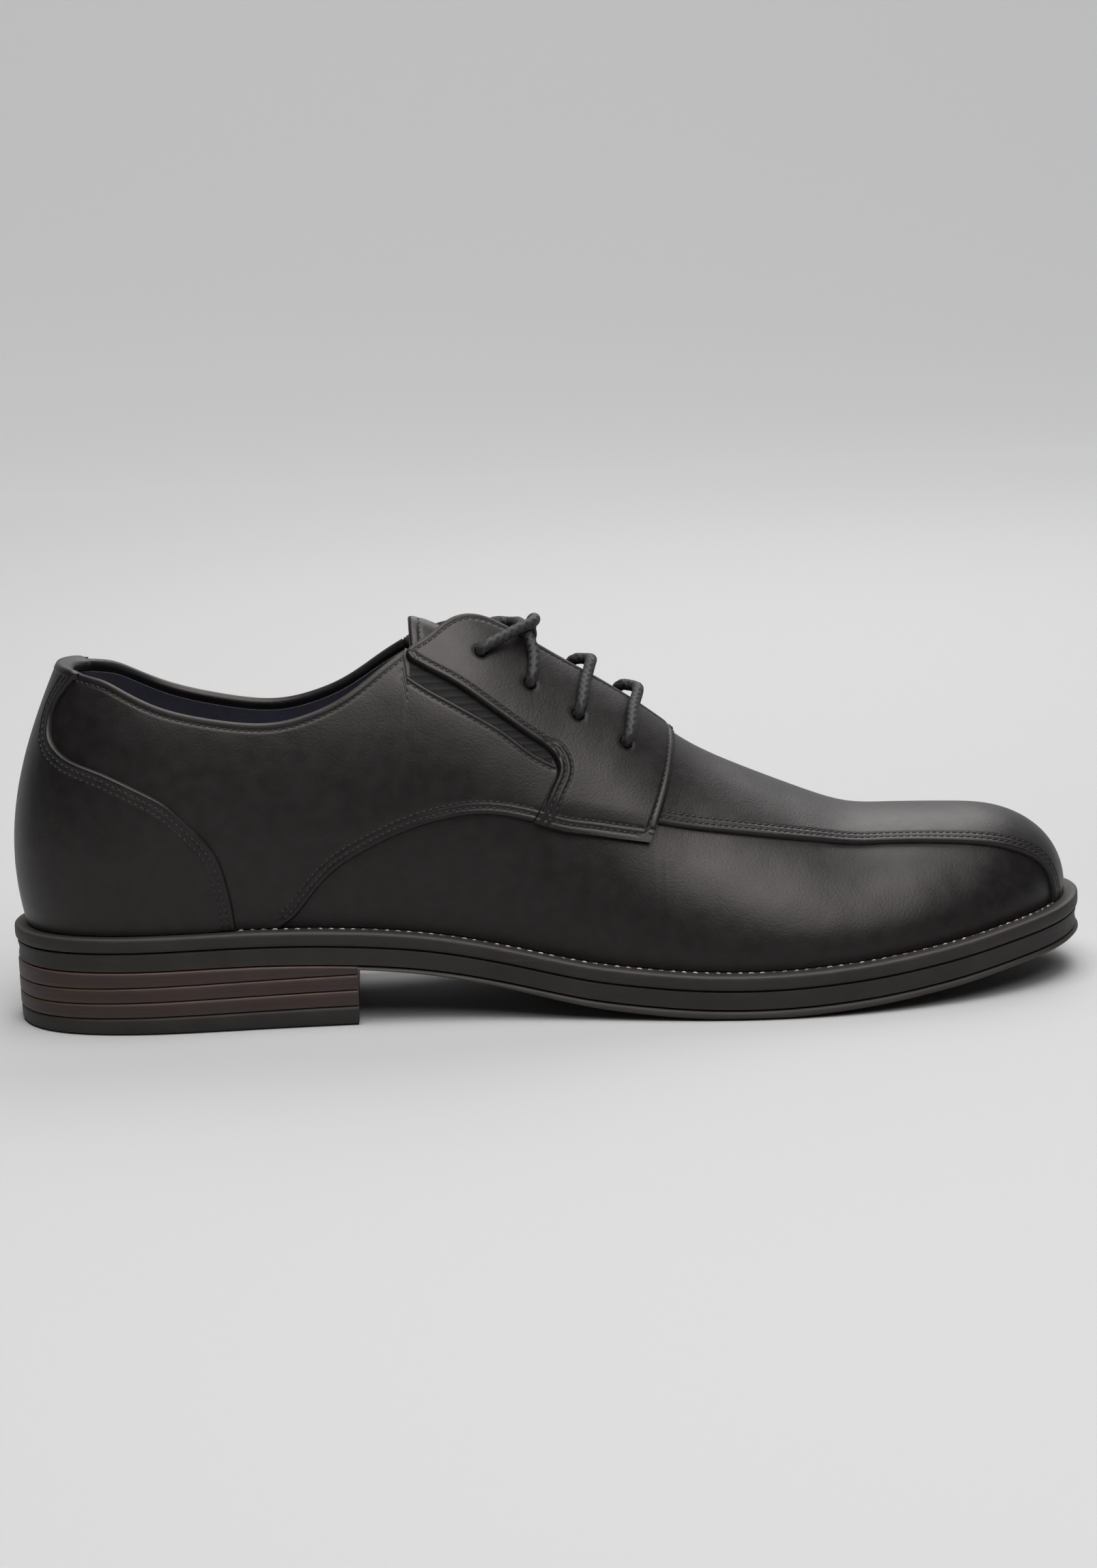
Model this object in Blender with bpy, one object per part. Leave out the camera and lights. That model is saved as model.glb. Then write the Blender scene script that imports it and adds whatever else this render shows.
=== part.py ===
"""Right men's dress shoe with bicycle toe seams, in metres: +X to the toe, +Y to the inner side, floor at z = 0."""

import bmesh
import bpy
import numpy as np

# Driving sizes of the last and the sole
LENGTH = 0.305
BALL_WIDTH = 0.104
HEEL_RISE = 0.0153
TOE_RISE = 0.0100
INSTEP_HEIGHT = 0.0955
TOE_HEIGHT = 0.0448
COLLAR_HEIGHT = 0.0850
HEEL_RADIUS = 0.0325
TOE_RADIUS = 0.0330
FEATHER_INSET_HEEL = 0.0080
FEATHER_INSET_TOE = 0.0070

# Layers of the sole
TREAD = 0.0026
MIDSOLE = 0.0055
WELT = 0.0042
WELT_WIDTH = 0.0120
INSOLE = 0.0025
TOP_LIFT = 0.0048
HEEL_BREAST = 0.0971
CLEAR = 0.0003

# Layers of the upper, measured out from the last
WALL = 0.0016
OVERLAY = 0.0008
BEND_CLEAR = 0.0005
GORE = 0.0005
TONGUE = 0.0023
TONGUE_ANKLE_HALF_WIDTH = 0.0145
TONGUE_HALF_WIDTH = 0.0200
TONGUE_LIFT = 0.0042
TONGUE_CROWN = 0.0070
FACING_LIFT = 0.0007
LACE = 0.0033
EYELET = 0.0036
FIRST_LEVEL = WALL + BEND_CLEAR
SECOND_LEVEL = FIRST_LEVEL + OVERLAY + BEND_CLEAR

# Outline of the sole: shares of the length from the heel, and of the ball width to the inner side
OUTLINE = (
    # along, across
    (0.000, 0.000),
    (0.030, -0.215),
    (0.100, -0.312),
    (0.210, -0.328),
    (0.330, -0.330),
    (0.450, -0.362),
    (0.570, -0.440),
    (0.680, -0.500),
    (0.780, -0.490),
    (0.870, -0.420),
    (0.935, -0.318),
    (0.978, -0.190),
    (1.000, 0.010),
    (0.990, 0.165),
    (0.960, 0.275),
    (0.900, 0.385),
    (0.820, 0.462),
    (0.735, 0.495),
    (0.650, 0.465),
    (0.550, 0.385),
    (0.440, 0.308),
    (0.330, 0.290),
    (0.210, 0.312),
    (0.100, 0.308),
    (0.030, 0.215),
)
TIP_ROW = 12

# Top of the welt above its lowest place: shares of the heel's rise and of the toe's rise
SEAT_LINE = (
    # along, heel, toe
    (0.000, 1.000, 0.00),
    (0.120, 0.990, 0.00),
    (0.218, 1.000, 0.00),
    (0.316, 0.922, 0.00),
    (0.382, 0.791, 0.00),
    (0.431, 0.620, 0.00),
    (0.480, 0.405, 0.00),
    (0.525, 0.216, 0.00),
    (0.572, 0.098, 0.00),
    (0.611, 0.035, 0.00),
    (0.670, 0.000, 0.00),
    (0.710, 0.000, 0.02),
    (0.749, 0.000, 0.08),
    (0.792, 0.000, 0.18),
    (0.831, 0.000, 0.31),
    (0.874, 0.000, 0.48),
    (0.920, 0.000, 0.69),
    (0.969, 0.000, 0.87),
    (1.000, 0.000, 1.00),
)

# Ridge of the last: share of the way up from the toe height to the instep height, and centre line to the inner side
RIDGE = (
    # along, rise, across
    (0.000, 1.590, 0.000),
    (0.100, 1.590, 0.000),
    (0.200, 1.545, 0.000),
    (0.300, 1.440, 0.000),
    (0.370, 1.350, 0.000),
    (0.435, 1.255, 0.008),
    (0.500, 1.000, 0.018),
    (0.545, 0.815, 0.025),
    (0.585, 0.640, 0.032),
    (0.625, 0.452, 0.040),
    (0.667, 0.309, 0.045),
    (0.697, 0.226, 0.048),
    (0.743, 0.106, 0.050),
    (0.785, 0.020, 0.050),
    (0.830, 0.000, 0.046),
    (0.900, -0.010, 0.030),
    (1.000, -0.010, 0.020),
)

# Section of the last, from the feather up to the ridge, by share of the way round from the heel's back
SECTIONS = (
    # round, out, up, reach, drop
    (0.000, 0.38, 0.39, 0.49, 0.31),
    (0.070, 0.34, 0.39, 0.68, 0.30),
    (0.137, 0.27, 0.39, 0.96, 0.28),
    (0.200, 0.20, 0.40, 1.00, 0.28),
    (0.270, 0.12, 0.40, 0.92, 0.28),
    (0.345, 0.06, 0.41, 0.93, 0.28),
    (0.390, 0.05, 0.42, 0.98, 0.26),
    (0.450, 0.04, 0.43, 0.86, 0.18),
    (0.500, 0.04, 0.44, 0.68, 0.10),
    (0.550, 0.04, 0.45, 0.54, 0.04),
    (0.600, 0.04, 0.46, 0.44, 0.00),
    (0.660, 0.04, 0.48, 0.44, 0.00),
    (0.720, 0.04, 0.50, 0.48, 0.00),
    (0.770, 0.04, 0.51, 0.54, 0.00),
    (0.850, 0.03, 0.51, 0.62, 0.00),
    (0.920, 0.03, 0.51, 0.71, 0.01),
    (1.000, 0.05, 0.50, 0.75, 0.03),
)


def spline(knots, values, at, closed=False):
    """Cubic spline through the rows, with steady curvature; closed where the last row repeats the first."""
    x, y, at = (np.asarray(v, float) for v in (knots, values, at))
    rows = len(x)
    width = np.diff(x)
    slope = np.diff(y) / width
    size = rows - 1 if closed else rows
    matrix = np.zeros((size, size))
    right = np.zeros(size)
    for i in range(0 if closed else 1, rows - 1):
        before = (i - 1) % (rows - 1)
        matrix[i, before] += width[before]
        matrix[i, i] += 2 * (width[before] + width[i])
        matrix[i, (i + 1) % size] += width[i]
        right[i] = 6 * (slope[i] - slope[before])
    if not closed:
        matrix[0, 0] = matrix[-1, -1] = 1
    bend = np.linalg.solve(matrix, right)
    if closed:
        bend = np.append(bend, bend[0])
    i = np.clip(np.searchsorted(x, at, side="right") - 1, 0, rows - 2)
    past, left, w = at - x[i], x[i + 1] - at, width[i]
    curve = (bend[i] * left**3 + bend[i + 1] * past**3) / (6 * w)
    return curve + (y[i] / w - bend[i] * w / 6) * left + (y[i + 1] / w - bend[i + 1] * w / 6) * past


def column(table, at, number):
    """A table's column read between its rows, at shares kept inside the table."""
    rows = np.array(table)
    at = np.clip(at, rows[0, 0], rows[-1, 0])
    return spline(rows[:, 0], rows[:, number], at)


PLAN = np.array(OUTLINE + OUTLINE[:1]) * [LENGTH, BALL_WIDTH]
WAY = np.append(0, np.cumsum(np.hypot(*np.diff(PLAN, axis=0).T)))
WHOLE_WAY = WAY[-1]
TIP_WAY = WAY[TIP_ROW]


def plan_at(way):
    return np.stack([spline(WAY, PLAN[:, k], way % WHOLE_WAY, closed=True) for k in (0, 1)], -1)


FINE = plan_at(np.linspace(0, WHOLE_WAY, 4001))
PLAN_LOW, PLAN_HIGH = FINE.min(0), FINE.max(0)


def rim(turn, inset=0.0):
    """x and y of the outline drawn in by inset. turn is 0 at the heel's back, -1 at the tip round the outer
    side and 1 at the tip round the inner side."""
    turn = np.asarray(turn, float)
    way = np.where(turn < 0, -turn * TIP_WAY, WHOLE_WAY - turn * (WHOLE_WAY - TIP_WAY))
    size = np.array([LENGTH, BALL_WIDTH])
    scale = size / (PLAN_HIGH - PLAN_LOW)
    step = 1e-4 * WHOLE_WAY
    here, ahead, behind = (plan_at(way + k) for k in (0, step, -step))
    along = (ahead - behind) * scale
    out = np.stack([along[..., 1], -along[..., 0]], -1)
    out /= np.linalg.norm(out, axis=-1, keepdims=True)
    return (here - (PLAN_LOW + PLAN_HIGH) / 2) * scale - out * np.asarray(inset)[..., None]


def share_along(x):
    return np.asarray(x) / LENGTH + 0.5


def seat(x):
    """Height of the welt's top."""
    along = share_along(x)
    low = TREAD + MIDSOLE + WELT
    return low + HEEL_RISE * column(SEAT_LINE, along, 1) + TOE_RISE * column(SEAT_LINE, along, 2)


def ridge(x):
    """Height and sideways place of the last's ridge."""
    along = share_along(x)
    height = TOE_HEIGHT + (INSTEP_HEIGHT - TOE_HEIGHT) * column(RIDGE, along, 1)
    return height, BALL_WIDTH * column(RIDGE, along, 2)


def between(x, low, high, soft):
    """x held between two values, with soft corners."""
    x = low + soft * np.logaddexp(0, (x - low) / soft)
    return high - soft * np.logaddexp(0, (high - x) / soft)


def last_point(turn, up):
    """Point of the last: turn goes round the feather as in rim, up goes from the feather at 0 to the ridge at 1."""
    turn, up = np.broadcast_arrays(np.asarray(turn, float), np.asarray(up, float))
    toe_share = np.abs(turn)
    foot = rim(turn, FEATHER_INSET_HEEL + (FEATHER_INSET_TOE - FEATHER_INSET_HEEL) * toe_share)
    centre = between(foot[..., 0], -LENGTH / 2 + HEEL_RADIUS, LENGTH / 2 - TOE_RADIUS, 0.007)
    top, middle = ridge(centre)
    low = seat(foot[..., 0]) + CLEAR
    out, rise, reach, drop = (column(SECTIONS, toe_share, k) for k in (1, 2, 3, 4))
    a, b, c, d = (1 - up) ** 3, 3 * up * (1 - up) ** 2, 3 * up**2 * (1 - up), up**3
    wide = a + b * (1 + out) + c * reach
    height = top - low
    z = a * low + b * (low + rise * height) + c * (top - drop * height) + d * top
    x = centre + (foot[..., 0] - centre) * wide
    y = middle + (foot[..., 1] - middle) * wide
    return np.stack([x, y, z], -1)


def skin(turn, up, off=0.0):
    """Point at a distance out from the last."""
    turn, up = np.broadcast_arrays(np.asarray(turn, float), np.asarray(up, float))
    step = 1e-3
    inner = np.clip(up, step, 0.985)
    side = np.where(turn < 0, -1, 1)
    round_turn = np.clip(np.abs(turn), step, 1 - step) * side
    across = last_point(round_turn + step, inner) - last_point(round_turn - step, inner)
    rising = last_point(turn, inner + step) - last_point(turn, inner - step)
    normal = np.cross(across, rising)
    normal /= np.linalg.norm(normal, axis=-1, keepdims=True)
    normal *= np.sign((normal[..., :2] * (last_point(turn, 0.0) - last_point(turn, 1.0))[..., :2]).sum(-1))[..., None]
    on_middle = (np.abs(turn) > 1 - 1e-9) | (np.abs(turn) < 1e-9) | (up > 1 - 1e-9)
    normal[..., 1] = np.where(on_middle, 0, normal[..., 1])
    at_top = up > 1 - 1e-9
    x = last_point(turn, 1.0)[..., 0]
    fall = (ridge(x - 0.001)[0] - ridge(x + 0.001)[0]) / 0.002
    normal[..., 0] = np.where(at_top, fall, normal[..., 0])
    normal[..., 2] = np.where(at_top, 1, normal[..., 2])
    normal /= np.linalg.norm(normal, axis=-1, keepdims=True)
    point = last_point(turn, up) + normal * np.asarray(off)[..., None]
    point[..., 2] = np.maximum(point[..., 2], seat(point[..., 0]) + CLEAR)
    return point


# Height of the collar by place along the shoe: shares of the collar's lowest height
COLLAR = (
    # along, height
    (0.000, 1.178),
    (0.060, 1.176),
    (0.078, 1.166),
    (0.090, 1.156),
    (0.103, 1.144),
    (0.120, 1.113),
    (0.146, 1.065),
    (0.175, 1.030),
    (0.202, 1.008),
    (0.230, 0.992),
    (0.257, 0.990),
    (0.287, 1.012),
    (0.317, 1.055),
    (0.336, 1.096),
    (0.357, 1.146),
    (0.373, 1.180),
    (0.420, 1.280),
)
COLLAR_END = 0.377

# Edge of the wall round the throat, hidden under the facings
THROAT = (
    # turn, up
    (0.377, 0.840),
    (0.411, 0.775),
    (0.439, 0.710),
    (0.469, 0.655),
    (0.490, 0.620),
    (0.515, 0.590),
    (0.540, 0.580),
    (0.556, 0.600),
    (0.566, 0.680),
    (0.576, 0.850),
    (0.584, 1.000),
)
THROAT_END = 0.584

# Slit with the elastic strip: top edge of the quarter and lower edge of the facing
SLIT = (
    # turn, quarter, facing
    (0.377, 0.750, 0.800),
    (0.394, 0.705, 0.760),
    (0.411, 0.668, 0.724),
    (0.425, 0.640, 0.690),
    (0.439, 0.617, 0.657),
    (0.454, 0.592, 0.628),
    (0.469, 0.563, 0.603),
    (0.487, 0.545, 0.569),
)

# Seam that hooks down from the slit's end to the facing's lowest corner
HOOK = (
    # up, turn
    (0.350, 0.4710),
    (0.400, 0.4780),
    (0.480, 0.4870),
    (0.535, 0.4910),
    (0.569, 0.4870),
)

HOOK_CLEAR = 0.0015
QUARTER_FRONT = 0.4885
QUARTER_LEAN_START = 0.250
QUARTER_BACK = 0.005

# Lower edge of the quarter over the side of the vamp
QUARTER_LOW = (
    # turn, up
    (0.268, 0.000),
    (0.279, 0.022),
    (0.293, 0.075),
    (0.311, 0.142),
    (0.337, 0.205),
    (0.375, 0.276),
    (0.397, 0.306),
    (0.421, 0.331),
    (0.445, 0.346),
    (0.471, 0.352),
)

# Facing: its lower edge along slit, hook and bottom, and its top edge from the ankle to the front
FACING = (
    # turn low, up low, turn high, up high
    (0.3800, 0.793, 0.3775, 0.812),
    (0.3940, 0.760, 0.3890, 0.858),
    (0.4110, 0.724, 0.4020, 0.902),
    (0.4250, 0.690, 0.4170, 0.948),
    (0.4390, 0.657, 0.4370, 0.970),
    (0.4540, 0.628, 0.4590, 0.970),
    (0.4690, 0.603, 0.4810, 0.970),
    (0.4870, 0.569, 0.5000, 0.970),
    (0.4910, 0.535, 0.5120, 0.970),
    (0.4870, 0.480, 0.5240, 0.970),
    (0.4780, 0.400, 0.5370, 0.970),
    (0.4710, 0.352, 0.5480, 0.970),
    (0.4940, 0.351, 0.5580, 0.970),
    (0.5170, 0.361, 0.5680, 0.970),
    (0.5400, 0.371, 0.5780, 0.967),
    (0.5630, 0.385, 0.5850, 0.950),
)
INNER_FACING_DROP = 0.045
FRONT_BOW = 0.008
LIP_START = 0.530
LIP_END = 0.556

# Edge of the heel counter: share of the way up to the collar, and round from the heel's back
COUNTER = (
    # rise, turn
    (0.000, 0.234),
    (0.110, 0.232),
    (0.230, 0.228),
    (0.340, 0.222),
    (0.440, 0.209),
    (0.530, 0.191),
    (0.585, 0.173),
    (0.612, 0.151),
    (0.632, 0.129),
    (0.652, 0.108),
    (0.682, 0.089),
    (0.718, 0.075),
    (0.777, 0.066),
    (0.850, 0.067),
    (0.930, 0.085),
    (1.000, 0.101),
)

# Edge of the strip between the bicycle seams, from the throat to the ball
STRIP = (
    # turn, up
    (0.540, 0.435),
    (0.571, 0.460),
    (0.613, 0.502),
    (0.649, 0.536),
    (0.687, 0.571),
    (0.725, 0.610),
    (0.766, 0.640),
    (0.800, 0.645),
)

# The same strip over the toe: shares of its width where the table above ends
STRIP_TOE = (
    # along, width
    (0.800, 1.00),
    (0.850, 0.97),
    (0.890, 0.91),
    (0.922, 0.82),
    (0.943, 0.75),
    (1.000, 0.69),
)
STRIP_START = 0.585
STRIP_START_BOW = 0.016
STRIP_TOE_START = 0.805
STRIP_FRONT = 0.885

# Eyelets, from the ankle to the throat
EYELETS = (
    # turn, up
    (0.433, 0.833),
    (0.469, 0.778),
    (0.507, 0.732),
    (0.545, 0.695),
)

# Routes of the lace over the facings, from the outer side to the inner one: rise is in lace thicknesses
LACE_BAR = (
    # turn past the eyelet, share of the way up from the eyelet to the edge, rise
    (0.000, 0.00, 0.0),
    (0.003, 0.45, 0.0),
    (0.006, 0.80, 0.0),
    (0.007, 1.00, 0.2),
    (0.004, 1.15, 0.4),
    (-0.002, 1.00, 0.2),
    (-0.004, 0.80, 0.0),
    (-0.002, 0.45, 0.0),
    (0.000, 0.00, 0.0),
)
LACE_OVER = (
    # turn, share, rise
    (0.433, 0.00, 0.0),
    (0.443, 0.35, 0.1),
    (0.455, 0.72, 0.6),
    (0.464, 1.00, 0.8),
    (0.468, 1.15, 0.5),
    (0.470, 1.00, 0.3),
    (0.470, 0.70, 0.0),
    (0.470, 0.35, 0.0),
    (0.469, 0.00, 0.0),
)
LACE_UNDER = (
    # turn, share, rise
    (0.469, 0.00, 0.0),
    (0.470, 0.35, 0.0),
    (0.468, 0.70, 0.0),
    (0.461, 1.00, 0.0),
    (0.452, 1.15, 0.1),
    (0.445, 1.00, 0.0),
    (0.440, 0.70, 0.0),
    (0.436, 0.35, 0.0),
    (0.433, 0.00, 0.0),
)
LACE_POINTS = 13

TONGUE_TOP = 0.380
TONGUE_END = 0.630

# Side of the sole's layers from bottom to top: share of the thickness, and inset from the outline
WELT_SIDE = (
    (0.00, 0.0004),
    (0.85, 0.0000),
    (1.00, 0.0006),
)
MIDSOLE_SIDE = (
    (0.00, 0.0007),
    (0.50, 0.0011),
    (1.00, 0.0006),
)
TREAD_SIDE = (
    (0.00, 0.0012),
    (0.35, 0.0000),
    (1.00, 0.0004),
)
LIFT_SIDE = (
    (0.00, 0.0006),
    (1.00, 0.0005),
)
TOP_LIFT_SIDE = (
    (0.00, 0.0013),
    (0.25, 0.0007),
    (1.00, 0.0006),
)

# Thickness of the tread layer, as shares of its thickness at the ball
TREAD_LINE = (
    # along, thickness
    (0.310, 0.45),
    (0.450, 0.72),
    (0.560, 0.97),
    (0.630, 1.06),
    (0.700, 1.06),
    (0.780, 0.97),
    (0.920, 0.82),
    (1.000, 0.64),
)

# Joints between the heel's lifts: height over the floor at the heel's back and at its breast
LIFT_JOINTS = (
    (0.0045, 0.0055),
    (0.0086, 0.0100),
    (0.0128, 0.0144),
)

BLACK = (0.012, 0.011, 0.011)
SOLE_BLACK = (0.018, 0.017, 0.017)
BROWN = (0.060, 0.032, 0.026)
ELASTIC = (0.008, 0.008, 0.009)
LINING = (0.020, 0.018, 0.035)


def smooth(low, high, at):
    share = np.clip((at - low) / (high - low), 0, 1)
    return share * share * (3 - 2 * share)


def solve_up(turn, test):
    """up at which a rising test of turn and up crosses zero, by halving."""
    low, high = np.zeros_like(turn), np.ones_like(turn)
    for _ in range(40):
        middle = (low + high) / 2
        under = test(turn, middle) < 0
        low, high = np.where(under, middle, low), np.where(under, high, middle)
    return (low + high) / 2


def above_collar(turn, up):
    point = last_point(turn, up)
    return point[..., 2] - COLLAR_HEIGHT * column(COLLAR, share_along(point[..., 0]), 1)


def opening(turn):
    """up of the wall's edge: the collar, then the throat, then 1 where the wall closes over the ridge."""
    turn = np.asarray(turn, float)
    away = np.abs(turn)
    throat = np.minimum(column(THROAT, away, 1), 1)
    up = np.where(away < COLLAR_END, solve_up(turn, above_collar), throat)
    return np.where(away > THROAT_END - 1e-9, 1.0, up)


def middle_turns(x, sign):
    """turn, on one side, of the section whose ridge is at x."""
    turns = np.linspace(0, 1, 2001)
    middle_x = np.maximum.accumulate(last_point(sign * turns, 1.0)[:, 0])
    return sign * np.interp(x, middle_x, turns)


def on_plan(x, y, first_up):
    """turn and up of the last under a place seen from above, found from a first guess of up."""
    x, y, up = np.broadcast_arrays(np.asarray(x, float), np.asarray(y, float), np.asarray(first_up, float))
    turn = np.where(y < ridge(x)[1], middle_turns(x, -1), middle_turns(x, 1))
    step = 1e-4
    for _ in range(14):
        here = last_point(turn, up)[..., :2]
        by_turn = (last_point(turn + step, up)[..., :2] - here) / step
        by_up = (last_point(turn, up + step)[..., :2] - here) / step
        miss = np.stack([x, y], -1) - here
        size = by_turn[..., 0] * by_up[..., 1] - by_turn[..., 1] * by_up[..., 0]
        turn = turn + np.clip((miss[..., 0] * by_up[..., 1] - miss[..., 1] * by_up[..., 0]) / size, -0.05, 0.05)
        up = up + np.clip((by_turn[..., 0] * miss[..., 1] - by_turn[..., 1] * miss[..., 0]) / size, -0.05, 0.05)
        up = np.minimum(up, 1.0)
    return turn, up


def at_x(x, up, sign):
    """turn, on one side, of the last's point at x and at this share of the way up."""
    x, up = np.broadcast_arrays(x, up)
    turn = middle_turns(x, sign)
    step = 1e-4
    for _ in range(8):
        here = last_point(turn, up)[..., 0]
        slope = (last_point(turn + step, up)[..., 0] - here) / step
        turn = turn + np.clip((x - here) / slope, -0.05, 0.05)
    return turn


def material(name, colour, roughness):
    made = bpy.data.materials.new(name)
    made.use_nodes = True
    shader = made.node_tree.nodes["Principled BSDF"]
    shader.inputs["Base Color"].default_value = (*colour, 1)
    shader.inputs["Roughness"].default_value = roughness
    shader.inputs["Metallic"].default_value = 0
    return made


def add_object(name, points, faces, colour, roughness=0.45):
    """One closed solid from its points and faces."""
    mesh = bpy.data.meshes.new(name)
    shape = bmesh.new()
    made = [shape.verts.new(point) for point in np.asarray(points, float)]
    for face in faces:
        shape.faces.new([made[i] for i in face])
    bmesh.ops.remove_doubles(shape, verts=shape.verts, dist=2e-6)
    bmesh.ops.recalc_face_normals(shape, faces=shape.faces)
    shape.to_mesh(mesh)
    shape.free()
    mesh.shade_smooth()
    mesh.set_sharp_from_angle(angle=np.radians(35))
    mesh.materials.append(material(name, colour, roughness))
    made = bpy.data.objects.new(name, mesh)
    bpy.context.scene.collection.objects.link(made)
    return made


def wall(outer, inner, loop=False, closed_top=None):
    """Points and faces of a wall between two grids of points, columns first. closed_top marks the columns
    whose last row meets the other side, so that they need no edge there."""
    columns, rows = outer.shape[:2]
    closed_top = np.zeros(columns, bool) if closed_top is None else closed_top
    points = np.concatenate([outer.reshape(-1, 3), inner.reshape(-1, 3)])
    half = columns * rows
    faces = []
    for i in range(columns if loop else columns - 1):
        k = (i + 1) % columns
        for j in range(rows - 1):
            faces.append((i * rows + j, k * rows + j, k * rows + j + 1, i * rows + j + 1))
            faces.append(tuple(half + n for n in reversed(faces[-1])))
        edges = [0] if closed_top[i] and closed_top[k] else [0, rows - 1]
        for j in edges:
            faces.append((i * rows + j, k * rows + j, half + k * rows + j, half + i * rows + j))
    if not loop:
        for i in (0, columns - 1):
            for j in range(rows - 1):
                faces.append((i * rows + j, i * rows + j + 1, half + i * rows + j + 1, half + i * rows + j))
    return points, faces


def patch(name, turn, up, low, high, colour, roughness=0.45):
    """A piece of leather between two distances from the last, over a grid of turn and up."""
    points, faces = wall(skin(turn, up, high), skin(turn, up, low))
    return add_object(name, points, faces, colour, roughness)


def mates(turns):
    """turns round the inner side whose sections meet those of the outer side at the ridge."""
    fine = np.linspace(0, 1, 4001)
    middle_x = np.maximum.accumulate(last_point(fine, 1.0)[:, 0])
    return np.interp(last_point(turns, 1.0)[..., 0], middle_x, fine)


def upper_turns():
    even = np.linspace(0, 1, 33)
    even = even - 0.35 * np.sin(2 * np.pi * even) / (2 * np.pi)
    corners = [COLLAR_END, 0.566, 0.576, THROAT_END]
    keep = [t for t in even if min(abs(t - c) for c in corners) > 0.006]
    return -np.sort(np.array(keep + corners))[::-1]


def build_upper():
    """The lasted wall: every section from the feather up to the collar, the throat or the ridge."""
    outer_side = upper_turns()
    inner_side = mates(outer_side[1:-1])[::-1]
    turns = np.concatenate([outer_side, inner_side])
    top = opening(turns)
    mate = (len(turns) - np.arange(len(turns))) % len(turns)
    top = np.minimum(top, top[mate])
    ups = top[:, None] * np.linspace(0, 1, 11)
    closed = top > 1 - 1e-9
    grids = []
    for off in (WALL, 0.0):
        grid = skin(turns[:, None], ups, off)
        meeting = np.where(closed & (turns > 0))[0]
        grid[meeting, -1] = grid[mate[meeting], -1]
        grids.append(grid)
    points, faces = wall(*grids, loop=True, closed_top=closed)
    add_object("upper", points, faces, BLACK)


def ring(inset, height, start, count):
    """Loop of points round the outline from start to the tip and back; start 0 is the heel's back."""
    share = np.linspace(0, 1, count)
    share = share - 0.3 * np.sin(2 * np.pi * share) / (2 * np.pi)
    sides = []
    for sign in (-1, 1):
        fine = sign * np.linspace(0, 1, 2001)
        fine_x = np.maximum.accumulate(rim(fine, inset)[:, 0])
        first = np.interp(start, fine_x, np.abs(fine)) if start is not None else 0.0
        flat = rim(sign * (first + (1 - first) * share), inset)
        if start is not None:
            flat[0, 0] = start
        sides.append(np.column_stack([flat, height(flat[:, 0])]))
    return np.stack(sides)


def heel_ring(inset, height, breast, count):
    """Loop of points round the heel from its back to the breast on both sides."""
    share = np.linspace(0, 1, count)
    sides = []
    for sign in (-1, 1):
        fine = np.linspace(0, 0.5, 2001)
        fine_x = np.maximum.accumulate(rim(sign * fine, inset)[:, 0])
        flat = rim(sign * np.interp(breast, fine_x, fine) * share, inset)
        flat[-1, 0] = breast
        sides.append(np.column_stack([flat, height(flat[:, 0])]))
    return np.stack(sides)


def stack_rings(name, rings, colour, roughness=0.5, hollow=False):
    """A solid through rings, each two sides of points that start and end together or on a straight edge."""
    sides, count = rings[0].shape[:2]
    points = np.concatenate([r.reshape(-1, 3) for r in rings])
    size = sides * count
    loop = list(range(count)) + [count + n for n in reversed(range(count))]
    faces = []
    levels = range(len(rings)) if hollow else range(len(rings) - 1)
    for level in levels:
        a, b = level * size, (level + 1) % len(rings) * size
        for i in range(len(loop)):
            p, q = loop[i], loop[(i + 1) % len(loop)]
            if np.linalg.norm(points[a + p] - points[a + q]) < 1e-7:
                continue
            faces.append((a + p, a + q, b + q, b + p))
    if not hollow:
        for base in (0, (len(rings) - 1) * size):
            for i in range(count - 1):
                faces.append((base + i, base + i + 1, base + count + i + 1, base + count + i))
    add_object(name, points, faces, colour, roughness)


def tread_bottom(x):
    thickness = TREAD * column(TREAD_LINE, share_along(x), 1)
    return np.maximum(seat(x) - WELT - MIDSOLE - thickness, 0)


def layer(side, low, high):
    """Insets and height functions of a layer's side."""
    return [(inset, lambda x, k=share: low(x) + (high(x) - low(x)) * k) for share, inset in side]


def build_sole():
    welt_top = seat
    welt_low = lambda x: seat(x) - WELT + CLEAR / 2
    mid_top = lambda x: seat(x) - WELT - CLEAR / 2
    mid_low = lambda x: seat(x) - WELT - MIDSOLE + CLEAR / 2
    tread_top = lambda x: seat(x) - WELT - MIDSOLE - CLEAR / 2
    rings = [ring(i, z, None, 37) for i, z in layer(WELT_SIDE, welt_low, welt_top)]
    rings += [ring(WELT_WIDTH, z, None, 37) for z in (welt_top, welt_low)]
    stack_rings("welt", rings, SOLE_BLACK, hollow=True)
    rings = [ring(i, z, None, 37) for i, z in layer(MIDSOLE_SIDE, mid_low, mid_top)]
    stack_rings("midsole", rings, SOLE_BLACK)
    breast = -LENGTH / 2 + HEEL_BREAST
    rings = [ring(i, z, breast, 32) for i, z in layer(TREAD_SIDE, tread_bottom, tread_top)]
    stack_rings("outsole", rings, SOLE_BLACK)
    plan = [(WELT_WIDTH + CLEAR, lambda x: mid_top(x) + CLEAR), (WELT_WIDTH + CLEAR, lambda x: welt_top(x) + CLEAR)]
    edge = FEATHER_INSET_HEEL + 0.0008
    plan += [(edge, lambda x: welt_top(x) + CLEAR), (edge, lambda x: welt_top(x) + CLEAR + INSOLE)]
    stack_rings("insole", [ring(i, z, None, 30) for i, z in plan], LINING)


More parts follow.
